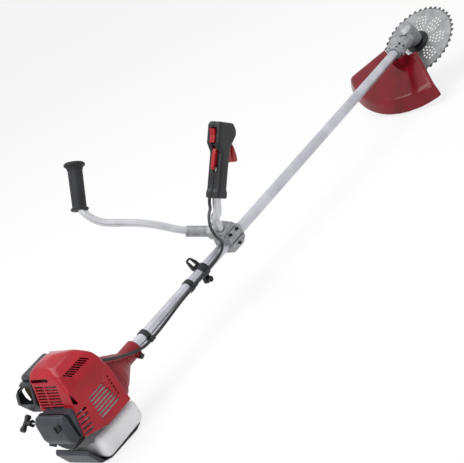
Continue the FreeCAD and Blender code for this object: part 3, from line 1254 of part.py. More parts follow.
tilted = Placement(Vector(), Rotation(FORWARD, -eye_tilt.value))
hanger_rear = hanger_place - hanger_width / 2
ring = pipe("hanger_ring", tube_radius + 3, tube_radius, hanger_rear, hanger_width)
eye_foot = tube_radius + 1.5
eye_top = eye_foot + eye_tall + 12
eye = padded("hanger_eye", "XZ_Plane", [
    (hanger_place - 17, eye_foot), (hanger_place - 17, eye_foot + 5), (hanger_place - 11, eye_top - 4),
    (hanger_place - 7, eye_top), (hanger_place + 1, eye_top), (hanger_place + 6, eye_top - 4),
    (hanger_place + 11, eye_foot + 12), (hanger_place + 11, eye_foot)], 6, tilted)
rounded(eye, 2, lambda edge: edge.BoundBox.ZMax > eye_foot.value + 1 and abs(edge.BoundBox.YLength) > 5)
slot = block("hanger_slot", eye_wide, 30, eye_tall, hanger_place - 2 - eye_wide / 2, -15, eye_foot + 7, tilted)
ear = block("hanger_ear", hanger_width - 6, 12, 20, hanger_rear + 3, -6, -tube_radius - 18)
ring_room = rod("ring_room", tube_radius, 80, facing(hanger_place - 40, 0, 0, FORWARD))
cable_pass = rod("cable_pass", cable_radius + clearance, 80, facing(hanger_place - 40, -cable_side, 1.3, FORWARD))
ear_split = block("ear_split", 60, 2, 24, hanger_place - 30, -1, -tube_radius - 20)
ear_hole = rod("ear_hole", 2.5 + running, 40, facing(hanger_place, 20, -tube_radius - 11, -LEFT))
keep(without("hanger", fused("hanger_blank", ring, eye, ear), slot, ring_room, cable_pass, ear_split, ear_hole))
knob_way = facing(hanger_place, 6, -tube_radius - 11, -LEFT)
keep(fused("hanger_knob", rod("hanger_screw", 2.5, 14, knob_way), rod("hanger_wing", 7.5, 8, knob_way.multiply(at(0, 0, 12 + clearance)))))

cable_points = [
    (223.756, -228.672, 232.431), (211.711, -224.22, 215.815), (222, -207, 196), (252, -166, 172), (289, -118, 143), (310, -84, 112),
    (328, -60, 84), (341, -49, 56), (357, -38, 39), (367, -28, 23), (360, -22, 9),
    (338, -cable_side, 3), (310, -cable_side, 1.6), (262, -cable_side, 1), (205, -cable_side, 1), (158, -cable_side, -1),
    (112, -cable_side, -5), (64, -cable_side, -8), (16, -cable_side, -8), (-14, -26, 1), (-50, -31, 18),
    (-90, -38, 41), (-122, -45, 62), (-148, -50, 77), (-176, -57, 77), (-214, -60, 67), (-246, -64, 55)]
cable_path = route("cable_path", cable_points)
keep(swept("throttle_cable", cable_radius, cable_path, cable_points))
doc.recompute()
cable_volume = doc.getObject("throttle_cable").Shape.Volume
print("cable volume", round(cable_volume), "section by length",
      round(cable_path.Shape.Length * math.pi * cable_radius.value ** 2))

# ---------------------------------------------------------------- set down on the ground, checked and written
stance = Placement(Vector(), Rotation(LEFT, -nose_up)).multiply(at(-stand_place, 0, stand_drop))
for piece, place in pieces:
    piece.Placement = stance.multiply(place)
doc.recompute()
for thing in doc.Objects:
    if "Invalid" in thing.State or "Error" in thing.State:
        raise RuntimeError("%s failed: %s" % (thing.Label, thing.State))
os.makedirs("parts", exist_ok=True)
for piece, place in pieces:
    if piece.Shape.isNull() or not piece.Shape.isValid():
        raise RuntimeError(piece.Label + " has no valid shape")
    piece.Shape.exportStep("parts/%s.step" % piece.Label)
print(len(pieces), "pieces")
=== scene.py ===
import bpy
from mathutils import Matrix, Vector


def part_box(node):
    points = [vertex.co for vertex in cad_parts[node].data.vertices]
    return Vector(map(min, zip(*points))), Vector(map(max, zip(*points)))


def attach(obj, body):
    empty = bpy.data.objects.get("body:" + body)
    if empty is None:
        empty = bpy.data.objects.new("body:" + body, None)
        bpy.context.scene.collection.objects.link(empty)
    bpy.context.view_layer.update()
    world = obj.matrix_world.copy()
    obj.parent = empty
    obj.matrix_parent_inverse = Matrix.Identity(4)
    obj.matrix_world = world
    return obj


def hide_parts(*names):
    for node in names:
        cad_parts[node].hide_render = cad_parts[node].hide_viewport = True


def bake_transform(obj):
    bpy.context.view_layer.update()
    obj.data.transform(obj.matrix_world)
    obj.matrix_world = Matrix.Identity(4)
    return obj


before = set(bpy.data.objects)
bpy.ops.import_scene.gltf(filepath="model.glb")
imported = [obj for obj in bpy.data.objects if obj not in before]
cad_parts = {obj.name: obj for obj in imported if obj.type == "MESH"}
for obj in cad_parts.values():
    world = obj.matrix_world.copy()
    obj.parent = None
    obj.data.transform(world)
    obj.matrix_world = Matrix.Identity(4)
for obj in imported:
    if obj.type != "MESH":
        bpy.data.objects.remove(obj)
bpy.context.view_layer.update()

import math

import bmesh
import bpy
from mathutils import Euler, Matrix, Vector

# ------------------------------------------------------------------ the view
# A long lens from the operator's right and behind, above the engine, so that the shaft runs
# away up the picture to the blade.
camera_data = bpy.data.cameras.new("studio_camera")
camera_data.sensor_width = 36
camera_data.lens = 91.586
camera_data.clip_end = 50
camera = bpy.data.objects.new("studio_camera", camera_data)
camera.location = (-1.2856, -1.9858, 1.1019)
camera.rotation_euler = Euler((1.196173, 0.462312, -0.943861), "XYZ")
bpy.context.scene.collection.objects.link(camera)
bpy.context.scene.camera = camera


# ------------------------------------------------------------------ crankcase and cylinder
# The engine's own castings: die-cast aluminium straight from the tool, with blasting pits and a
# slow mottle. They are bolted together and carry everything else at the rear.
def linear(colour):
    """An sRGB hex colour as linear red, green, blue and alpha."""
    shares = [int(colour[place:place + 2], 16) / 255 for place in (1, 3, 5)]
    lit = [share / 12.92 if share <= 0.04045 else ((share + 0.055) / 1.055) ** 2.4
           for share in shares]
    return (*lit, 1.0)


def add(tree, kind, inputs=None, stops=(), **settings):
    """Adds a shader node; each input is a plain value or the output that feeds it.

    The stops of a colour ramp are pairs of a place on the ramp and a hex colour.
    """
    node = tree.nodes.new(kind)
    for name, value in settings.items():
        setattr(node, name, value)
    for name, value in (inputs or {}).items():
        if isinstance(value, bpy.types.NodeSocket):
            tree.links.new(value, node.inputs[name])
        else:
            node.inputs[name].default_value = value
    for number, (spot, colour) in enumerate(stops):
        node.color_ramp.elements[number].position = spot
        node.color_ramp.elements[number].color = linear(colour)
    return node


def new_finish(name):
    """An empty material, its node tree and the place on the piece that its patterns follow."""
    material = bpy.data.materials.new(name)
    material.use_nodes = True
    tree = material.node_tree
    tree.nodes.clear()
    return material, tree, add(tree, "ShaderNodeTexCoord").outputs["Object"]


def coat_nodes(finish, *names):
    """Gives a finish to pieces that the frame already holds."""
    for name in names:
        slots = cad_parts[name].data.materials
        slots.clear()
        slots.append(finish)


def cast_aluminium(name, dark, light, metal=0.75):
    """Blasted casting: a fine sparkle, and a little darker where the mottle lies."""
    finish, tree, place = new_finish(name)
    # pits 0.8 mm across, coarser than real ones so that they show, over a mottle 12 mm wide
    pits = add(tree, "ShaderNodeTexNoise",
               {"Vector": place, "Scale": 1300.0, "Detail": 2.0}).outputs["Fac"]
    mottle = add(tree, "ShaderNodeTexNoise",
                 {"Vector": place, "Scale": 80.0, "Detail": 3.0}).outputs["Fac"]
    bump = add(tree, "ShaderNodeBump", {"Height": pits, "Strength": 0.25, "Distance": 0.0003})
    tint = add(tree, "ShaderNodeValToRGB", {"Fac": mottle},
               stops=((0.35, dark), (0.65, light)))
    sheen = add(tree, "ShaderNodeMapRange", {"Value": pits, "To Min": 0.42, "To Max": 0.62})
    surface = add(tree, "ShaderNodeBsdfPrincipled", {
        "Base Color": tint.outputs["Color"], "Metallic": metal,
        "Roughness": sheen.outputs["Result"], "Normal": bump.outputs["Normal"]})
    add(tree, "ShaderNodeOutputMaterial", {"Surface": surface.outputs["BSDF"]})
    return finish


engine_casting = cast_aluminium("engine die-cast aluminium", "#a9a6a6", "#bdbaba")
coat_nodes(engine_casting, "crankcase", "cylinder", "flywheel_fan", "carburettor")


# ------------------------------------------------------------------ shafts, clutch and bearings
# Turned and ground steel on the crankshaft, the drive shaft and the clutch drum; black oxide on
# the clutch shoes; sintered bronze in the bushes that carry the drive shaft along the tube.
def machined_steel(name, dark, light, metal, roughness):
    """Cut metal: scratches 1 mm apart in the sheen, and a faint cloud 17 mm wide."""
    finish, tree, place = new_finish(name)
    scratch = add(tree, "ShaderNodeTexNoise",
                  {"Vector": place, "Scale": 900.0, "Detail": 3.0}).outputs["Fac"]
    cloud = add(tree, "ShaderNodeTexNoise",
                {"Vector": place, "Scale": 60.0, "Detail": 3.0}).outputs["Fac"]
    bump = add(tree, "ShaderNodeBump", {"Height": scratch, "Strength": 0.1, "Distance": 0.0002})
    tint = add(tree, "ShaderNodeValToRGB", {"Fac": cloud}, stops=((0.35, dark), (0.65, light)))
    sheen = add(tree, "ShaderNodeMapRange",
                {"Value": scratch, "To Min": roughness, "To Max": roughness + 0.15})
    surface = add(tree, "ShaderNodeBsdfPrincipled", {
        "Base Color": tint.outputs["Color"], "Metallic": metal,
        "Roughness": sheen.outputs["Result"], "Normal": bump.outputs["Normal"]})
    add(tree, "ShaderNodeOutputMaterial", {"Surface": surface.outputs["BSDF"]})
    return finish


turned_steel = machined_steel("turned steel", "#a2a3a5", "#b6b7b9", 0.95, 0.25)
coat_nodes(turned_steel, "crankshaft", "clutch_drum", "clutch_bearing", "drive_shaft")
oxide_steel = machined_steel("black oxide steel", "#1d1d1f", "#2b2b2d", 0.6, 0.38)
coat_nodes(oxide_steel, "clutch_shoes")
coat_nodes(machined_steel("bearing bronze", "#9a7a3c", "#b08c49", 0.9, 0.35), "shaft_bushes")


# ------------------------------------------------------------------ ignition
# The plug is glazed ceramic in a steel shell, under a moulded rubber boot. The coil and the
# carburettor's spacer are black glass-filled nylon.
def textured_nylon(name, dark, light, roughness, grain_scale=900.0, depth=0.25):
    """Moulded plastic or rubber: a soft sheen, broken by the fine grain of its mould."""
    finish, tree, place = new_finish(name)
    # the mould's grain is drawn about 1 mm coarse so that it shows, over a cloud 40 mm wide
    grain = add(tree, "ShaderNodeTexNoise",
                {"Vector": place, "Scale": grain_scale, "Detail": 2.0}).outputs["Fac"]
    cloud = add(tree, "ShaderNodeTexNoise",
                {"Vector": place, "Scale": 25.0, "Detail": 2.0}).outputs["Fac"]
    bump = add(tree, "ShaderNodeBump", {"Height": grain, "Strength": depth, "Distance": 0.0003})
    tint = add(tree, "ShaderNodeValToRGB", {"Fac": cloud}, stops=((0.35, dark), (0.65, light)))
    sheen = add(tree, "ShaderNodeMapRange",
                {"Value": grain, "To Min": roughness, "To Max": roughness + 0.14})
    surface = add(tree, "ShaderNodeBsdfPrincipled", {
        "Base Color": tint.outputs["Color"], "Roughness": sheen.outputs["Result"],
        "IOR": 1.5, "Specular IOR Level": 0.35, "Normal": bump.outputs["Normal"]})
    add(tree, "ShaderNodeOutputMaterial", {"Surface": surface.outputs["BSDF"]})
    return finish


black_nylon = textured_nylon("black glass-filled nylon", "#141518", "#1d1e21", 0.40)
rubber = textured_nylon("black moulded rubber", "#1c1d21", "#26272c", 0.52, 1100.0, 0.35)
coat_nodes(machined_steel("glazed ceramic plug", "#dcdcd8", "#ecece8", 0.0, 0.15), "spark_plug")
coat_nodes(rubber, "plug_boot")
coat_nodes(black_nylon, "ignition_coil", "insulator")

# ------------------------------------------------------------------ fan housing and clutch case
# Die-cast aluminium under a baked red enamel, satin, with the grain of the casting just showing
# through. The case bolts to the housing and clamps the tube with one screw.
enamel, tree, place = new_finish("baked red enamel on casting")
# the casting's grain, 1.4 mm, breaks up the sheen, and the red changes slowly over 33 mm
grain = add(tree, "ShaderNodeTexNoise",
            {"Vector": place, "Scale": 700.0, "Detail": 2.0}).outputs["Fac"]
cloud = add(tree, "ShaderNodeTexNoise",
            {"Vector": place, "Scale": 30.0, "Detail": 3.0}).outputs["Fac"]
bump = add(tree, "ShaderNodeBump", {"Height": grain, "Strength": 0.25, "Distance": 0.0003})
tint = add(tree, "ShaderNodeValToRGB", {"Fac": cloud},
           stops=((0.35, "#7a121d"), (0.65, "#8a1824")))
sheen = add(tree, "ShaderNodeMapRange", {"Value": grain, "To Min": 0.36, "To Max": 0.48})
surface = add(tree, "ShaderNodeBsdfPrincipled", {
    "Base Color": tint.outputs["Color"], "Roughness": sheen.outputs["Result"],
    "IOR": 1.5, "Specular IOR Level": 0.35, "Normal": bump.outputs["Normal"]})
add(tree, "ShaderNodeOutputMaterial", {"Surface": surface.outputs["BSDF"]})
coat_nodes(enamel, "clutch_case", "fan_housing")
coat_nodes(black_nylon, "case_screw")


# ------------------------------------------------------------------ muffler and its guard
# A pressed steel box, brown from heat, inside a slate grey moulded guard; a cap of the same
# nylon closes the top of the cover above it.
def place_form(name, form):
    """An object that holds a finished form as its mesh."""
    mesh = bpy.data.meshes.new(name)
    form.to_mesh(mesh)
    form.free()
    holder = bpy.data.objects.new(name, mesh)
    bpy.context.scene.collection.objects.link(holder)
    return holder


def moulded(name, node, cell, rounds, finish, share=0.3, keep_openings=False):
    """A rigid piece with the flowing edges its mould gives it, in place of the plain solid.

    The solid's skin is drawn again in even cells, its free corners are eased so many rounds,
    and this share of the faces is kept.
    """
    form = bmesh.new()
    form.from_mesh(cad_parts[node].data)
    bmesh.ops.remove_doubles(form, verts=form.verts, dist=0.00001)
    piece = place_form(name, form)
    filled = piece.modifiers.new("skin", "REMESH")
    filled.mode = "VOXEL"
    filled.voxel_size = cell
    even = as_modified(piece)
    form = bmesh.new()
    form.from_mesh(even)
    free = set(form.verts)
    if keep_openings:
        # the sharp rims of the openings and the three rows of faces beside them stay
        held = {end for edge in form.edges if edge.calc_face_angle(0) > 0.5
                for end in edge.verts}
        for row in range(3):
            held |= {edge.other_vert(point) for point in held for edge in point.link_edges}
        free -= held
    free = list(free)
    for turn in range(rounds):
        bmesh.ops.smooth_vert(form, verts=free, factor=0.5,
                              use_axis_x=True, use_axis_y=True, use_axis_z=True)
    bmesh.ops.recalc_face_normals(form, faces=form.faces)
    for face in form.faces:
        face.smooth = True
    form.to_mesh(even)
    form.free()
    piece.data = even
    thinned = piece.modifiers.new("thinned", "DECIMATE")
    thinned.ratio = share
    piece.data = as_modified(piece)
    piece.data.materials.clear()
    piece.data.materials.append(finish)
    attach(piece, "machine")
    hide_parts(node)


def as_modified(piece):
    """The piece's mesh with its modifiers applied; the piece loses them."""
    seen = piece.evaluated_get(bpy.context.evaluated_depsgraph_get())
    mesh = bpy.data.meshes.new_from_object(seen)
    piece.modifiers.clear()
    return mesh


coat_nodes(machined_steel("heat darkened pressed steel", "#3a332d", "#54493f", 0.7, 0.5),
           "muffler")
slate_nylon = textured_nylon("slate glass-filled nylon", "#2a2d34", "#34383f", 0.34)
moulded("muffler_guard_moulding", "muffler_guard", 0.0009, 30, slate_nylon)
moulded("cap_moulding", "guard_cap", 0.0008, 120, slate_nylon)


# ------------------------------------------------------------------ engine cover
# A thin injection moulded ABS shell, gloss red, screwed over the cylinder. Its corners flow into
# each other, and the louvre, grilles and slots keep their sharp rims.
def glossy_shell(name, deep, bright, roughness):
    """Polished ABS: a clear reflection with a ripple 6 mm long, and a slow change of red."""
    finish, tree, place = new_finish(name)
    cloud = add(tree, "ShaderNodeTexNoise",
                {"Vector": place, "Scale": 14.0, "Detail": 2.0}).outputs["Fac"]
    ripple = add(tree, "ShaderNodeTexNoise",
                 {"Vector": place, "Scale": 160.0, "Detail": 1.0}).outputs["Fac"]
    bump = add(tree, "ShaderNodeBump", {"Height": ripple, "Strength": 0.10, "Distance": 0.0004})
    tint = add(tree, "ShaderNodeValToRGB", {"Fac": cloud}, stops=((0.35, deep), (0.65, bright)))
    sheen = add(tree, "ShaderNodeMapRange",
                {"Value": ripple, "To Min": roughness, "To Max": roughness + 0.06})
    surface = add(tree, "ShaderNodeBsdfPrincipled", {
        "Base Color": tint.outputs["Color"], "Roughness": sheen.outputs["Result"],
        "IOR": 1.45, "Specular IOR Level": 0.28, "Coat Weight": 0.15, "Coat Roughness": 0.04,
        "Normal": bump.outputs["Normal"]})
    add(tree, "ShaderNodeOutputMaterial", {"Surface": surface.outputs["BSDF"]})
    return finish


cover_gloss = glossy_shell("gloss red ABS cover", "#98091c", "#aa0f24", 0.20)
moulded("cover_shell", "engine_cover", 0.0009, 160, cover_gloss,
        share=0.4, keep_openings=True)


# ------------------------------------------------------------------ cooling fins
# A pack of die-cast fins on the crankcase's flank, coloured near white as a painted highlight
# where the louvre opens on them: nine fins 3.4 mm thick at the louvre's pitch, level with the
# shaft.
def make_piece(name, form, finish):
    """Turns a finished form into a piece with its finish."""
    bmesh.ops.recalc_face_normals(form, faces=form.faces)
    piece = place_form(name, form)
    piece.data.materials.append(finish)
    return piece


fin_size = Matrix.Diagonal((0.072, 0.0052, 0.0034, 1))
fin_pitch = 0.0088
fin_count = 9
top_fin = Vector((-0.195, -0.0742, 0.048))
# the shaft's frame: along, left of and above the shaft, which rises 2.15 degrees to the front
shaft_frame = (Matrix.Rotation(-math.radians(2.14934), 4, "Y")
               @ Matrix.Translation((0.205, 0, 0.108)))
fins = bmesh.new()
for index in range(fin_count):
    seat = Matrix.Translation(top_fin - Vector((0, 0, index * fin_pitch)))
    made = bmesh.ops.create_cube(fins, size=1.0, matrix=seat @ fin_size)
    edges = list({edge for point in made["verts"] for edge in point.link_edges})
    bmesh.ops.bevel(fins, geom=edges, affect="EDGES", offset=0.0008, segments=2, profile=0.5,
                    material=-1)
bmesh.ops.transform(fins, matrix=shaft_frame, verts=fins.verts)
# painted highlight: the fins' near white, far lighter than the engine's own casting, stands in
# for light in the louvre
highlight_painted_casting = cast_aluminium("die-cast fins with painted highlight", "#e8e8ea", "#f4f4f6", 0.1)
flank_fins = make_piece("flank_fins", fins, highlight_painted_casting)
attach(flank_fins, "machine")

# ------------------------------------------------------------------ air cleaner
# A slate moulded cover over an oiled foam element, held by one black knob. Behind it a skirt
# with 9 mm corners, open at both ends, hides the carburettor.
moulded("cleaner_cover_moulding", "air_cleaner_cover", 0.0008, 60, slate_nylon)
coat_nodes(black_nylon, "air_cleaner_base", "air_cleaner_knob")
coat_nodes(textured_nylon("oiled filter foam", "#2c2c26", "#46463c", 0.85, 600.0, 0.9),
           "air_element")
skirt_seat = Matrix.Translation((-0.0708, -0.0297, 0.1278))
skirt_size = Matrix.Diagonal((0.0284, 0.0950, 0.0640, 1))
skirt_corner = 0.009
skirt_wall = 0.0016
skirt = bmesh.new()
bmesh.ops.create_cube(skirt, size=1.0, matrix=skirt_seat @ skirt_size)
corners = [edge for edge in skirt.edges
           if abs(edge.verts[0].co.x - edge.verts[1].co.x) > 0.01]
bmesh.ops.bevel(skirt, geom=corners, affect="EDGES", offset=skirt_corner, segments=5,
                profile=0.5, material=-1)
open_ends = [face for face in skirt.faces if abs(face.normal.x) > 0.9]
bmesh.ops.delete(skirt, geom=open_ends, context="FACES_ONLY")
bmesh.ops.recalc_face_normals(skirt, faces=skirt.faces)
bmesh.ops.solidify(skirt, geom=list(skirt.faces), thickness=skirt_wall)
cleaner_case = make_piece("cleaner_case", skirt, slate_nylon)
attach(cleaner_case, "machine")

# ------------------------------------------------------------------ starter
# A black moulded housing and reel. The braided polyester cord, 3.2 mm, runs straight off the
# reel to the T grip.
coat_nodes(black_nylon, "recoil_housing", "starter_reel", "starter_grip")
braid = textured_nylon("braided starter cord", "#c9c8c2", "#e2e1dc", 0.8, 1600.0, 0.8)
coat_nodes(braid, "starter_rope")
cord_radius = 0.0016
rope_low, rope_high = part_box("starter_rope")
rope_reach = rope_high.y - rope_low.y
cord_form = bmesh.new()
bmesh.ops.create_cone(cord_form, cap_ends=True, segments=12, radius1=cord_radius,
                      radius2=cord_radius, depth=rope_reach)
lengthwise = [edge for edge in cord_form.edges
              if abs(edge.verts[0].co.z - edge.verts[1].co.z) > rope_reach / 2]
bmesh.ops.subdivide_edges(cord_form, edges=lengthwise, cuts=48, use_grid_fill=True)
laid = Matrix.Translation((rope_low + rope_high) / 2) @ Matrix.Rotation(-math.pi / 2, 4, "X")
bmesh.ops.transform(cord_form, matrix=laid, verts=cord_form.verts)
starter_cord = make_piece("starter_cord", cord_form, braid)
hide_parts("starter_rope")
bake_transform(starter_cord)

# ------------------------------------------------------------------ stand and fuel tank
# A slate moulded foot under the engine, and between its arms a blow-moulded tank of natural
# polyethylene: milky white, into which light sinks a few millimetres.
moulded("stand_moulding", "engine_stand", 0.0009, 20, slate_nylon)
milky, tree, place = new_finish("natural blow-moulded polyethylene")
# the mould leaves a soft skin, drawn 2 mm coarse, and the white is uneven over 60 mm
cloud = add(tree, "ShaderNodeTexNoise",
            {"Vector": place, "Scale": 16.0, "Detail": 2.0}).outputs["Fac"]
skin = add(tree, "ShaderNodeTexNoise",
           {"Vector": place, "Scale": 500.0, "Detail": 2.0}).outputs["Fac"]
bump = add(tree, "ShaderNodeBump", {"Height": skin, "Strength": 0.15, "Distance": 0.0003})
tint = add(tree, "ShaderNodeValToRGB", {"Fac": cloud},
           stops=((0.35, "#d9dadc"), (0.65, "#e6e6e8")))
sheen = add(tree, "ShaderNodeMapRange", {"Value": skin, "To Min": 0.34, "To Max": 0.44})
surface = add(tree, "ShaderNodeBsdfPrincipled", {
    "Base Color": tint.outputs["Color"], "Roughness": sheen.outputs["Result"], "IOR": 1.54,
    "Subsurface Weight": 0.25, "Subsurface Radius": (0.004, 0.004, 0.004),
    "Subsurface Scale": 1.0, "Normal": bump.outputs["Normal"]})
add(tree, "ShaderNodeOutputMaterial", {"Surface": surface.outputs["BSDF"]})
coat_nodes(milky, "fuel_tank")
coat_nodes(black_nylon, "fuel_cap")


# ------------------------------------------------------------------ shaft tube
# 28 mm drawn aluminium tube, satin anodised. The black hanger clamps round it with a wing knob,
# and two rubber bands hold the cable against it.
def drawn_aluminium(name, dark, light, along):
    """Anodised metal: the lines its die or bending left in the sheen, and a 55 mm cloud."""
    finish, tree, place = new_finish(name)
    turned = add(tree, "ShaderNodeMapping", {"Vector": place, "Scale": along}).outputs["Vector"]
    lines = add(tree, "ShaderNodeTexNoise",
                {"Vector": turned, "Scale": 1.0, "Detail": 3.0}).outputs["Fac"]
    cloud = add(tree, "ShaderNodeTexNoise",
                {"Vector": place, "Scale": 18.0, "Detail": 2.0}).outputs["Fac"]
    bump = add(tree, "ShaderNodeBump", {"Height": lines, "Strength": 0.12, "Distance": 0.0002})
    tint = add(tree, "ShaderNodeValToRGB", {"Fac": cloud}, stops=((0.35, dark), (0.65, light)))
    sheen = add(tree, "ShaderNodeMapRange", {"Value": lines, "To Min": 0.30, "To Max": 0.46})
    surface = add(tree, "ShaderNodeBsdfPrincipled", {
        "Base Color": tint.outputs["Color"], "Metallic": 0.85,
        "Roughness": sheen.outputs["Result"], "Normal": bump.outputs["Normal"]})
    add(tree, "ShaderNodeOutputMaterial", {"Surface": surface.outputs["BSDF"]})
    return finish


# lines 0.3 mm apart across the tube and 60 mm long down it
coat_nodes(drawn_aluminium("satin anodised aluminium tube", "#b4b6bd", "#c6c8cf",
                           (16.0, 3000.0, 3000.0)), "shaft_tube")
coat_nodes(black_nylon, "hanger", "hanger_knob")
coat_nodes(rubber, "cable_bands")


# ------------------------------------------------------------------ handlebar and its clamp
# A 19 mm bar bent in one piece, satin anodised, in a three-part clamp of blasted die-cast
# aluminium. Black oxide socket screws close the clamp round the tube.
def from_shaft(x, y, z):
    """A place given along, left of and above the shaft, in millimetres."""
    return shaft_frame @ (Vector((x, y, z)) / 1000)


def socket_screw(name, seat, out, radius, finish):
    """The head of a socket screw, 5 mm high, with its bevelled rim and sunk socket."""
    height = 0.005
    form = bmesh.new()
    bmesh.ops.create_cone(form, cap_ends=True, segments=24, radius1=radius, radius2=radius,
                          depth=height)
    top = max(form.faces, key=lambda face: face.calc_center_median().z)
    bmesh.ops.bevel(form, geom=list(top.edges), affect="EDGES", offset=radius * 0.15,
                    segments=2, profile=0.5, material=-1)
    top = max(form.faces, key=lambda face: face.calc_center_median().z)
    bmesh.ops.inset_region(form, faces=[top], thickness=radius * 0.35)
    sunk = bmesh.ops.extrude_face_region(form, geom=[top])
    bmesh.ops.delete(form, geom=[top], context="FACES_ONLY")
    bmesh.ops.translate(form, verts=new_points(sunk), vec=(0, 0, -height * 0.6))
    facing = Vector((0, 0, 1)).rotation_difference(out.normalized()).to_matrix().to_4x4()
    bmesh.ops.transform(form, matrix=Matrix.Translation(seat) @ facing, verts=form.verts)
    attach(make_piece(name, form, finish), "machine")


def new_points(made):
    """The points that an operator has just made."""
    return [part for part in made["geom"] if isinstance(part, bmesh.types.BMVert)]


# a bar bent in every direction has an even grain, drawn 3 mm wide, in place of lines
coat_nodes(drawn_aluminium("satin anodised aluminium bar", "#b9babf", "#cbccd1",
                           (300.0, 300.0, 300.0)), "handlebar")
casting = cast_aluminium("shot blasted die-cast aluminium", "#8a8b8f", "#a4a5a8")
coat_nodes(casting, "clamp_lower", "clamp_middle")
moulded("yoke_casting", "clamp_yoke", 0.0008, 30, casting)
screw_finish = machined_steel("black oxide socket screw", "#121214", "#1e1e20", 0.5, 0.36)
clamp_screw_radius = 0.0042
clamp_spots = ((435, -26.5, 20), (406, -26.5, 21), (422, -25.5, -13))
for index, spot in enumerate(clamp_spots):
    socket_screw("clamp_bolt_%d" % index, from_shaft(*spot), Vector((0, -1, 0.09)),
                 clamp_screw_radius, screw_finish)

# ------------------------------------------------------------------ left grip and throttle grip
# A dull rubber sleeve on the left. On the right two black nylon halves close round the bar, and
# the trigger, its lockout lever and the stop switch between them are red nylon.
coat_nodes(rubber, "left_grip")
moulded("throttle_left_moulding", "throttle_half_left", 0.0007, 24, black_nylon,
        share=0.25)
moulded("throttle_right_moulding", "throttle_half_right", 0.0007, 24, black_nylon,
        share=0.25)
control_red = textured_nylon("red control nylon", "#96101b", "#a61622", 0.32)
coat_nodes(control_red, "throttle_trigger", "lockout_lever", "stop_switch")

# the trigger's finger blade, 12 mm wide, drawn ahead of and below its pivot
pivot = Vector((0.4946, -0.2605, 0.4318))
up_grip = Vector((0.5436, -0.2120, 0.8122)).normalized()
across_grip = Vector((-0.0097, 0.9659, 0.2586)).normalized()
ahead = across_grip.cross(up_grip).normalized()
blade_width = 0.012
blade_outline = ((0.024, -0.002), (0.033, -0.010), (0.044, -0.026), (0.049, -0.038),
                 (0.037, -0.041), (0.028, -0.032))
blade_form = bmesh.new()
near_side = [blade_form.verts.new(pivot + ahead * out + up_grip * rise
                                  - across_grip * blade_width / 2)
             for out, rise in blade_outline]
flat = blade_form.faces.new(near_side)
grown = bmesh.ops.extrude_face_region(blade_form, geom=[flat])
bmesh.ops.translate(blade_form, verts=new_points(grown), vec=across_grip * blade_width)
bmesh.ops.recalc_face_normals(blade_form, faces=blade_form.faces)
bmesh.ops.bevel(blade_form, geom=list(blade_form.edges), affect="EDGES", offset=0.0018,
                segments=3, profile=0.5, material=-1)
trigger_blade = make_piece("trigger_blade", blade_form, control_red)
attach(trigger_blade, "trigger")

# ------------------------------------------------------------------ throttle cable
# A steel inner wire in a smooth, near black vinyl sheath, 7 mm across. It runs from the throttle
# grip down the tube to the carburettor, and the hanger and two rubber bands hold it.
coat_nodes(textured_nylon("black cable sheath", "#1b1c1f", "#242528", 0.38, 1400.0, 0.15),
           "throttle_cable")

# ------------------------------------------------------------------ gear head
# Die-cast case and lid round a pair of turned bevel gears; four socket screws clamp its neck on
# the tube, set square to the neck's round.
moulded("gear_head_casting", "gear_case", 0.0008, 14, casting)
coat_nodes(casting, "gear_head_cap")
coat_nodes(turned_steel, "gear_bearings", "pinion", "crown_gear", "blade_spindle",
           "blade_washer", "blade_nut")
coat_nodes(oxide_steel, "blade_holder")
neck_screw_radius = 0.0030
neck_spots = ((1400, -10, 17), (1420, -12, 17), (1424, -19, 5), (1402, -18, -7))
for index, (along, across, above) in enumerate(neck_spots):
    socket_screw("neck_bolt_%d" % index, from_shaft(along, across, above),
                 Vector((0, across, above)), neck_screw_radius, screw_finish)

# ------------------------------------------------------------------ blade guard
# A deep gloss red moulding with a folded skirt, bolted under the neck to a bracket painted to
# match.
guard_gloss = glossy_shell("gloss deep red guard", "#6a0716", "#7e0a1d", 0.12)
moulded("guard_shell", "guard", 0.0016, 150, guard_gloss, share=0.4)
coat_nodes(guard_gloss, "guard_bracket")
coat_nodes(oxide_steel, "guard_bolts")

# ------------------------------------------------------------------ blade
# A 255 mm plate of spring steel, 1.4 mm thick, ground in circles, with forty hardened teeth and
# eight groups of relief holes. The washer and nut clamp it on the spindle.
blade_low, blade_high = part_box("blade")
blade_centre = (blade_low + blade_high) / 2
blade_steel, tree, place = new_finish("circular ground spring steel")
# grinding rings round the bore, drawn 0.7 mm apart so that they show, over a cloud 25 mm wide
centred = add(tree, "ShaderNodeMapping",
              {"Vector": place, "Location": tuple(-blade_centre)}).outputs["Vector"]
reach = add(tree, "ShaderNodeVectorMath", {0: centred}, operation="LENGTH").outputs["Value"]
rings = add(tree, "ShaderNodeTexNoise", {"W": reach, "Scale": 1500.0, "Detail": 2.0},
            noise_dimensions="1D").outputs["Fac"]
cloud = add(tree, "ShaderNodeTexNoise",
            {"Vector": place, "Scale": 40.0, "Detail": 3.0}).outputs["Fac"]
bump = add(tree, "ShaderNodeBump", {"Height": rings, "Strength": 0.15, "Distance": 0.0001})
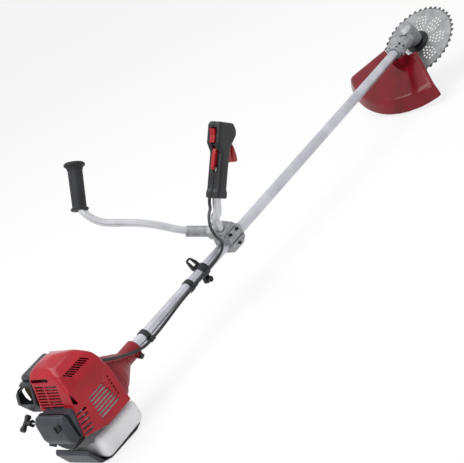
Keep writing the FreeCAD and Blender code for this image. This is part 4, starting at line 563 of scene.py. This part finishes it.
# the teeth are darker where they were hardened, from 118 mm out
at_rim = add(tree, "ShaderNodeMapRange",
             {"Value": reach, "From Min": 0.1165, "From Max": 0.1195}).outputs["Result"]
ground = add(tree, "ShaderNodeValToRGB", {"Fac": cloud},
             stops=((0.35, "#8e8f90"), (0.65, "#a5a6a7")))
hardened = add(tree, "ShaderNodeValToRGB", {"Fac": cloud},
               stops=((0.35, "#4c4e50"), (0.65, "#5d5f61")))
toothed = add(tree, "ShaderNodeMix", {"Factor": at_rim}, data_type="RGBA")
tree.links.new(ground.outputs["Color"], toothed.inputs["A"])
tree.links.new(hardened.outputs["Color"], toothed.inputs["B"])
sheen = add(tree, "ShaderNodeMapRange", {"Value": rings, "To Min": 0.28, "To Max": 0.46})
surface = add(tree, "ShaderNodeBsdfPrincipled", {
    "Base Color": toothed.outputs["Result"], "Metallic": 0.8,
    "Roughness": sheen.outputs["Result"], "Normal": bump.outputs["Normal"]})
add(tree, "ShaderNodeOutputMaterial", {"Surface": surface.outputs["BSDF"]})
coat_nodes(blade_steel, "blade")

spindle_up = Vector((-0.5322, 0.0, 0.8467))
blade_ahead = Vector((0.8467, 0.0, 0.5322))
blade_turn = Matrix((blade_ahead, Vector((0, 1, 0)), spindle_up)).transposed().to_4x4()
blade_seat = Matrix.Translation(blade_centre) @ blade_turn
plate_thick = 0.0014
tooth_count = 40
plate_radius = 0.12
tooth_reach = (0.1195, 0.1200, 0.1272, 0.1268)
plate = bmesh.new()
bmesh.ops.create_circle(plate, cap_ends=True, segments=4 * tooth_count, radius=plate_radius)
for index, point in enumerate(list(plate.verts)):
    point.co *= tooth_reach[index % 4] / plate_radius
raised = bmesh.ops.extrude_face_region(plate, geom=list(plate.faces))
bmesh.ops.translate(plate, verts=new_points(raised), vec=(0, 0, plate_thick))
bmesh.ops.translate(plate, verts=plate.verts, vec=(0, 0, -plate_thick / 2))
bmesh.ops.recalc_face_normals(plate, faces=plate.faces)
bmesh.ops.transform(plate, matrix=blade_seat, verts=plate.verts)

# holes 6.4 mm across, in eight groups of five staggered rows, and the 25.4 mm bore
group_count = 8
row_holes = (2, 3, 4, 4, 3)
first_row = 0.046
row_step = 0.0115
hole_step = 0.0112
hole_radius = 0.0032
bore_radius = 0.0127
cut_depth = 0.006
relief = bmesh.new()
for group in range(group_count):
    for row, count in enumerate(row_holes):
        for hole in range(count):
            out = first_row + row * row_step
            turn = math.tau * group / group_count + (hole - (count - 1) / 2) * hole_step / out
            seat = Matrix.Translation((out * math.cos(turn), out * math.sin(turn), 0))
            bmesh.ops.create_cone(relief, cap_ends=True, segments=10, radius1=hole_radius,
                                  radius2=hole_radius, depth=cut_depth, matrix=seat)
bmesh.ops.create_cone(relief, cap_ends=True, segments=48, radius1=bore_radius,
                      radius2=bore_radius, depth=cut_depth)
bmesh.ops.transform(relief, matrix=blade_seat, verts=relief.verts)

saw_blade = place_form("saw_blade", plate)
hole_tool = place_form("saw_blade_tool", relief)
cut = saw_blade.modifiers.new("cut", "BOOLEAN")
cut.object = hole_tool
cut.solver = "EXACT"
saw_blade.data = as_modified(saw_blade)
bpy.data.objects.remove(hole_tool)
saw_blade.data.materials.clear()
saw_blade.data.materials.append(blade_steel)
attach(saw_blade, "spindle")
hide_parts("blade")

# ------------------------------------------------------------------ studio
# A plain white floor that keeps a soft shadow, a pale world and two large soft lamps. Seen
# straight or in a reflection, both the floor and the world are near white.
sheet = bmesh.new()
bmesh.ops.create_grid(sheet, x_segments=1, y_segments=1, size=30)
floor = place_form("studio_floor", sheet)
paper, tree, place = new_finish("white studio paper")
fibre = add(tree, "ShaderNodeTexNoise", {"Vector": place, "Scale": 300.0}).outputs["Fac"]
tint = add(tree, "ShaderNodeValToRGB", {"Fac": fibre},
           stops=((0.35, "#f4f4f4"), (0.65, "#fafafa")))
surface = add(tree, "ShaderNodeBsdfPrincipled", {
    "Base Color": tint.outputs["Color"], "Roughness": 0.9})
white = add(tree, "ShaderNodeEmission", {"Color": (1.0, 1.0, 1.0, 1.0), "Strength": 1.0})
path = add(tree, "ShaderNodeLightPath")
shown = add(tree, "ShaderNodeMath",
            {0: path.outputs["Is Camera Ray"], 1: path.outputs["Is Glossy Ray"]},
            operation="MAXIMUM").outputs["Value"]
white_share = add(tree, "ShaderNodeMath", {0: shown, 1: 0.80}, operation="MULTIPLY")
mixed = add(tree, "ShaderNodeMixShader", {
    0: white_share.outputs["Value"], 1: surface.outputs["BSDF"], 2: white.outputs["Emission"]})
add(tree, "ShaderNodeOutputMaterial", {"Surface": mixed.outputs["Shader"]})
floor.data.materials.append(paper)

world = bpy.data.worlds.new("studio")
bpy.context.scene.world = world
world.use_nodes = True
sky = world.node_tree
sky.nodes.clear()
path = add(sky, "ShaderNodeLightPath")
shown = add(sky, "ShaderNodeMath",
            {0: path.outputs["Is Camera Ray"], 1: path.outputs["Is Glossy Ray"]},
            operation="MAXIMUM").outputs["Value"]
shown = add(sky, "ShaderNodeMath", {0: shown, 1: path.outputs["Is Transmission Ray"]},
            operation="MAXIMUM").outputs["Value"]
strength = add(sky, "ShaderNodeMapRange", {"Value": shown, "To Min": 0.55, "To Max": 1.0})
glow = add(sky, "ShaderNodeBackground",
           {"Color": (1.0, 1.0, 1.0, 1.0), "Strength": strength.outputs["Result"]})
add(sky, "ShaderNodeOutputWorld", {"Surface": glow.outputs["Background"]})


def soft_lamp(name, place, target, width, power):
    """A square softbox that faces its target."""
    lamp = bpy.data.lights.new(name, "AREA")
    lamp.shape = "SQUARE"
    lamp.size = width
    lamp.energy = power
    holder = bpy.data.objects.new(name, lamp)
    holder.location = place
    facing = Vector(target) - Vector(place)
    holder.rotation_euler = facing.to_track_quat("-Z", "Y").to_euler()
    bpy.context.scene.collection.objects.link(holder)


soft_lamp("overhead_softbox", (0.2, 0.6, 3.2), (0.6, 0.0, 0.2), 2.4, 60)
soft_lamp("left_softbox", (-2.2, -0.6, 2.2), (0.3, 0.0, 0.2), 1.6, 32)

bpy.context.scene.view_settings.view_transform = "Standard"
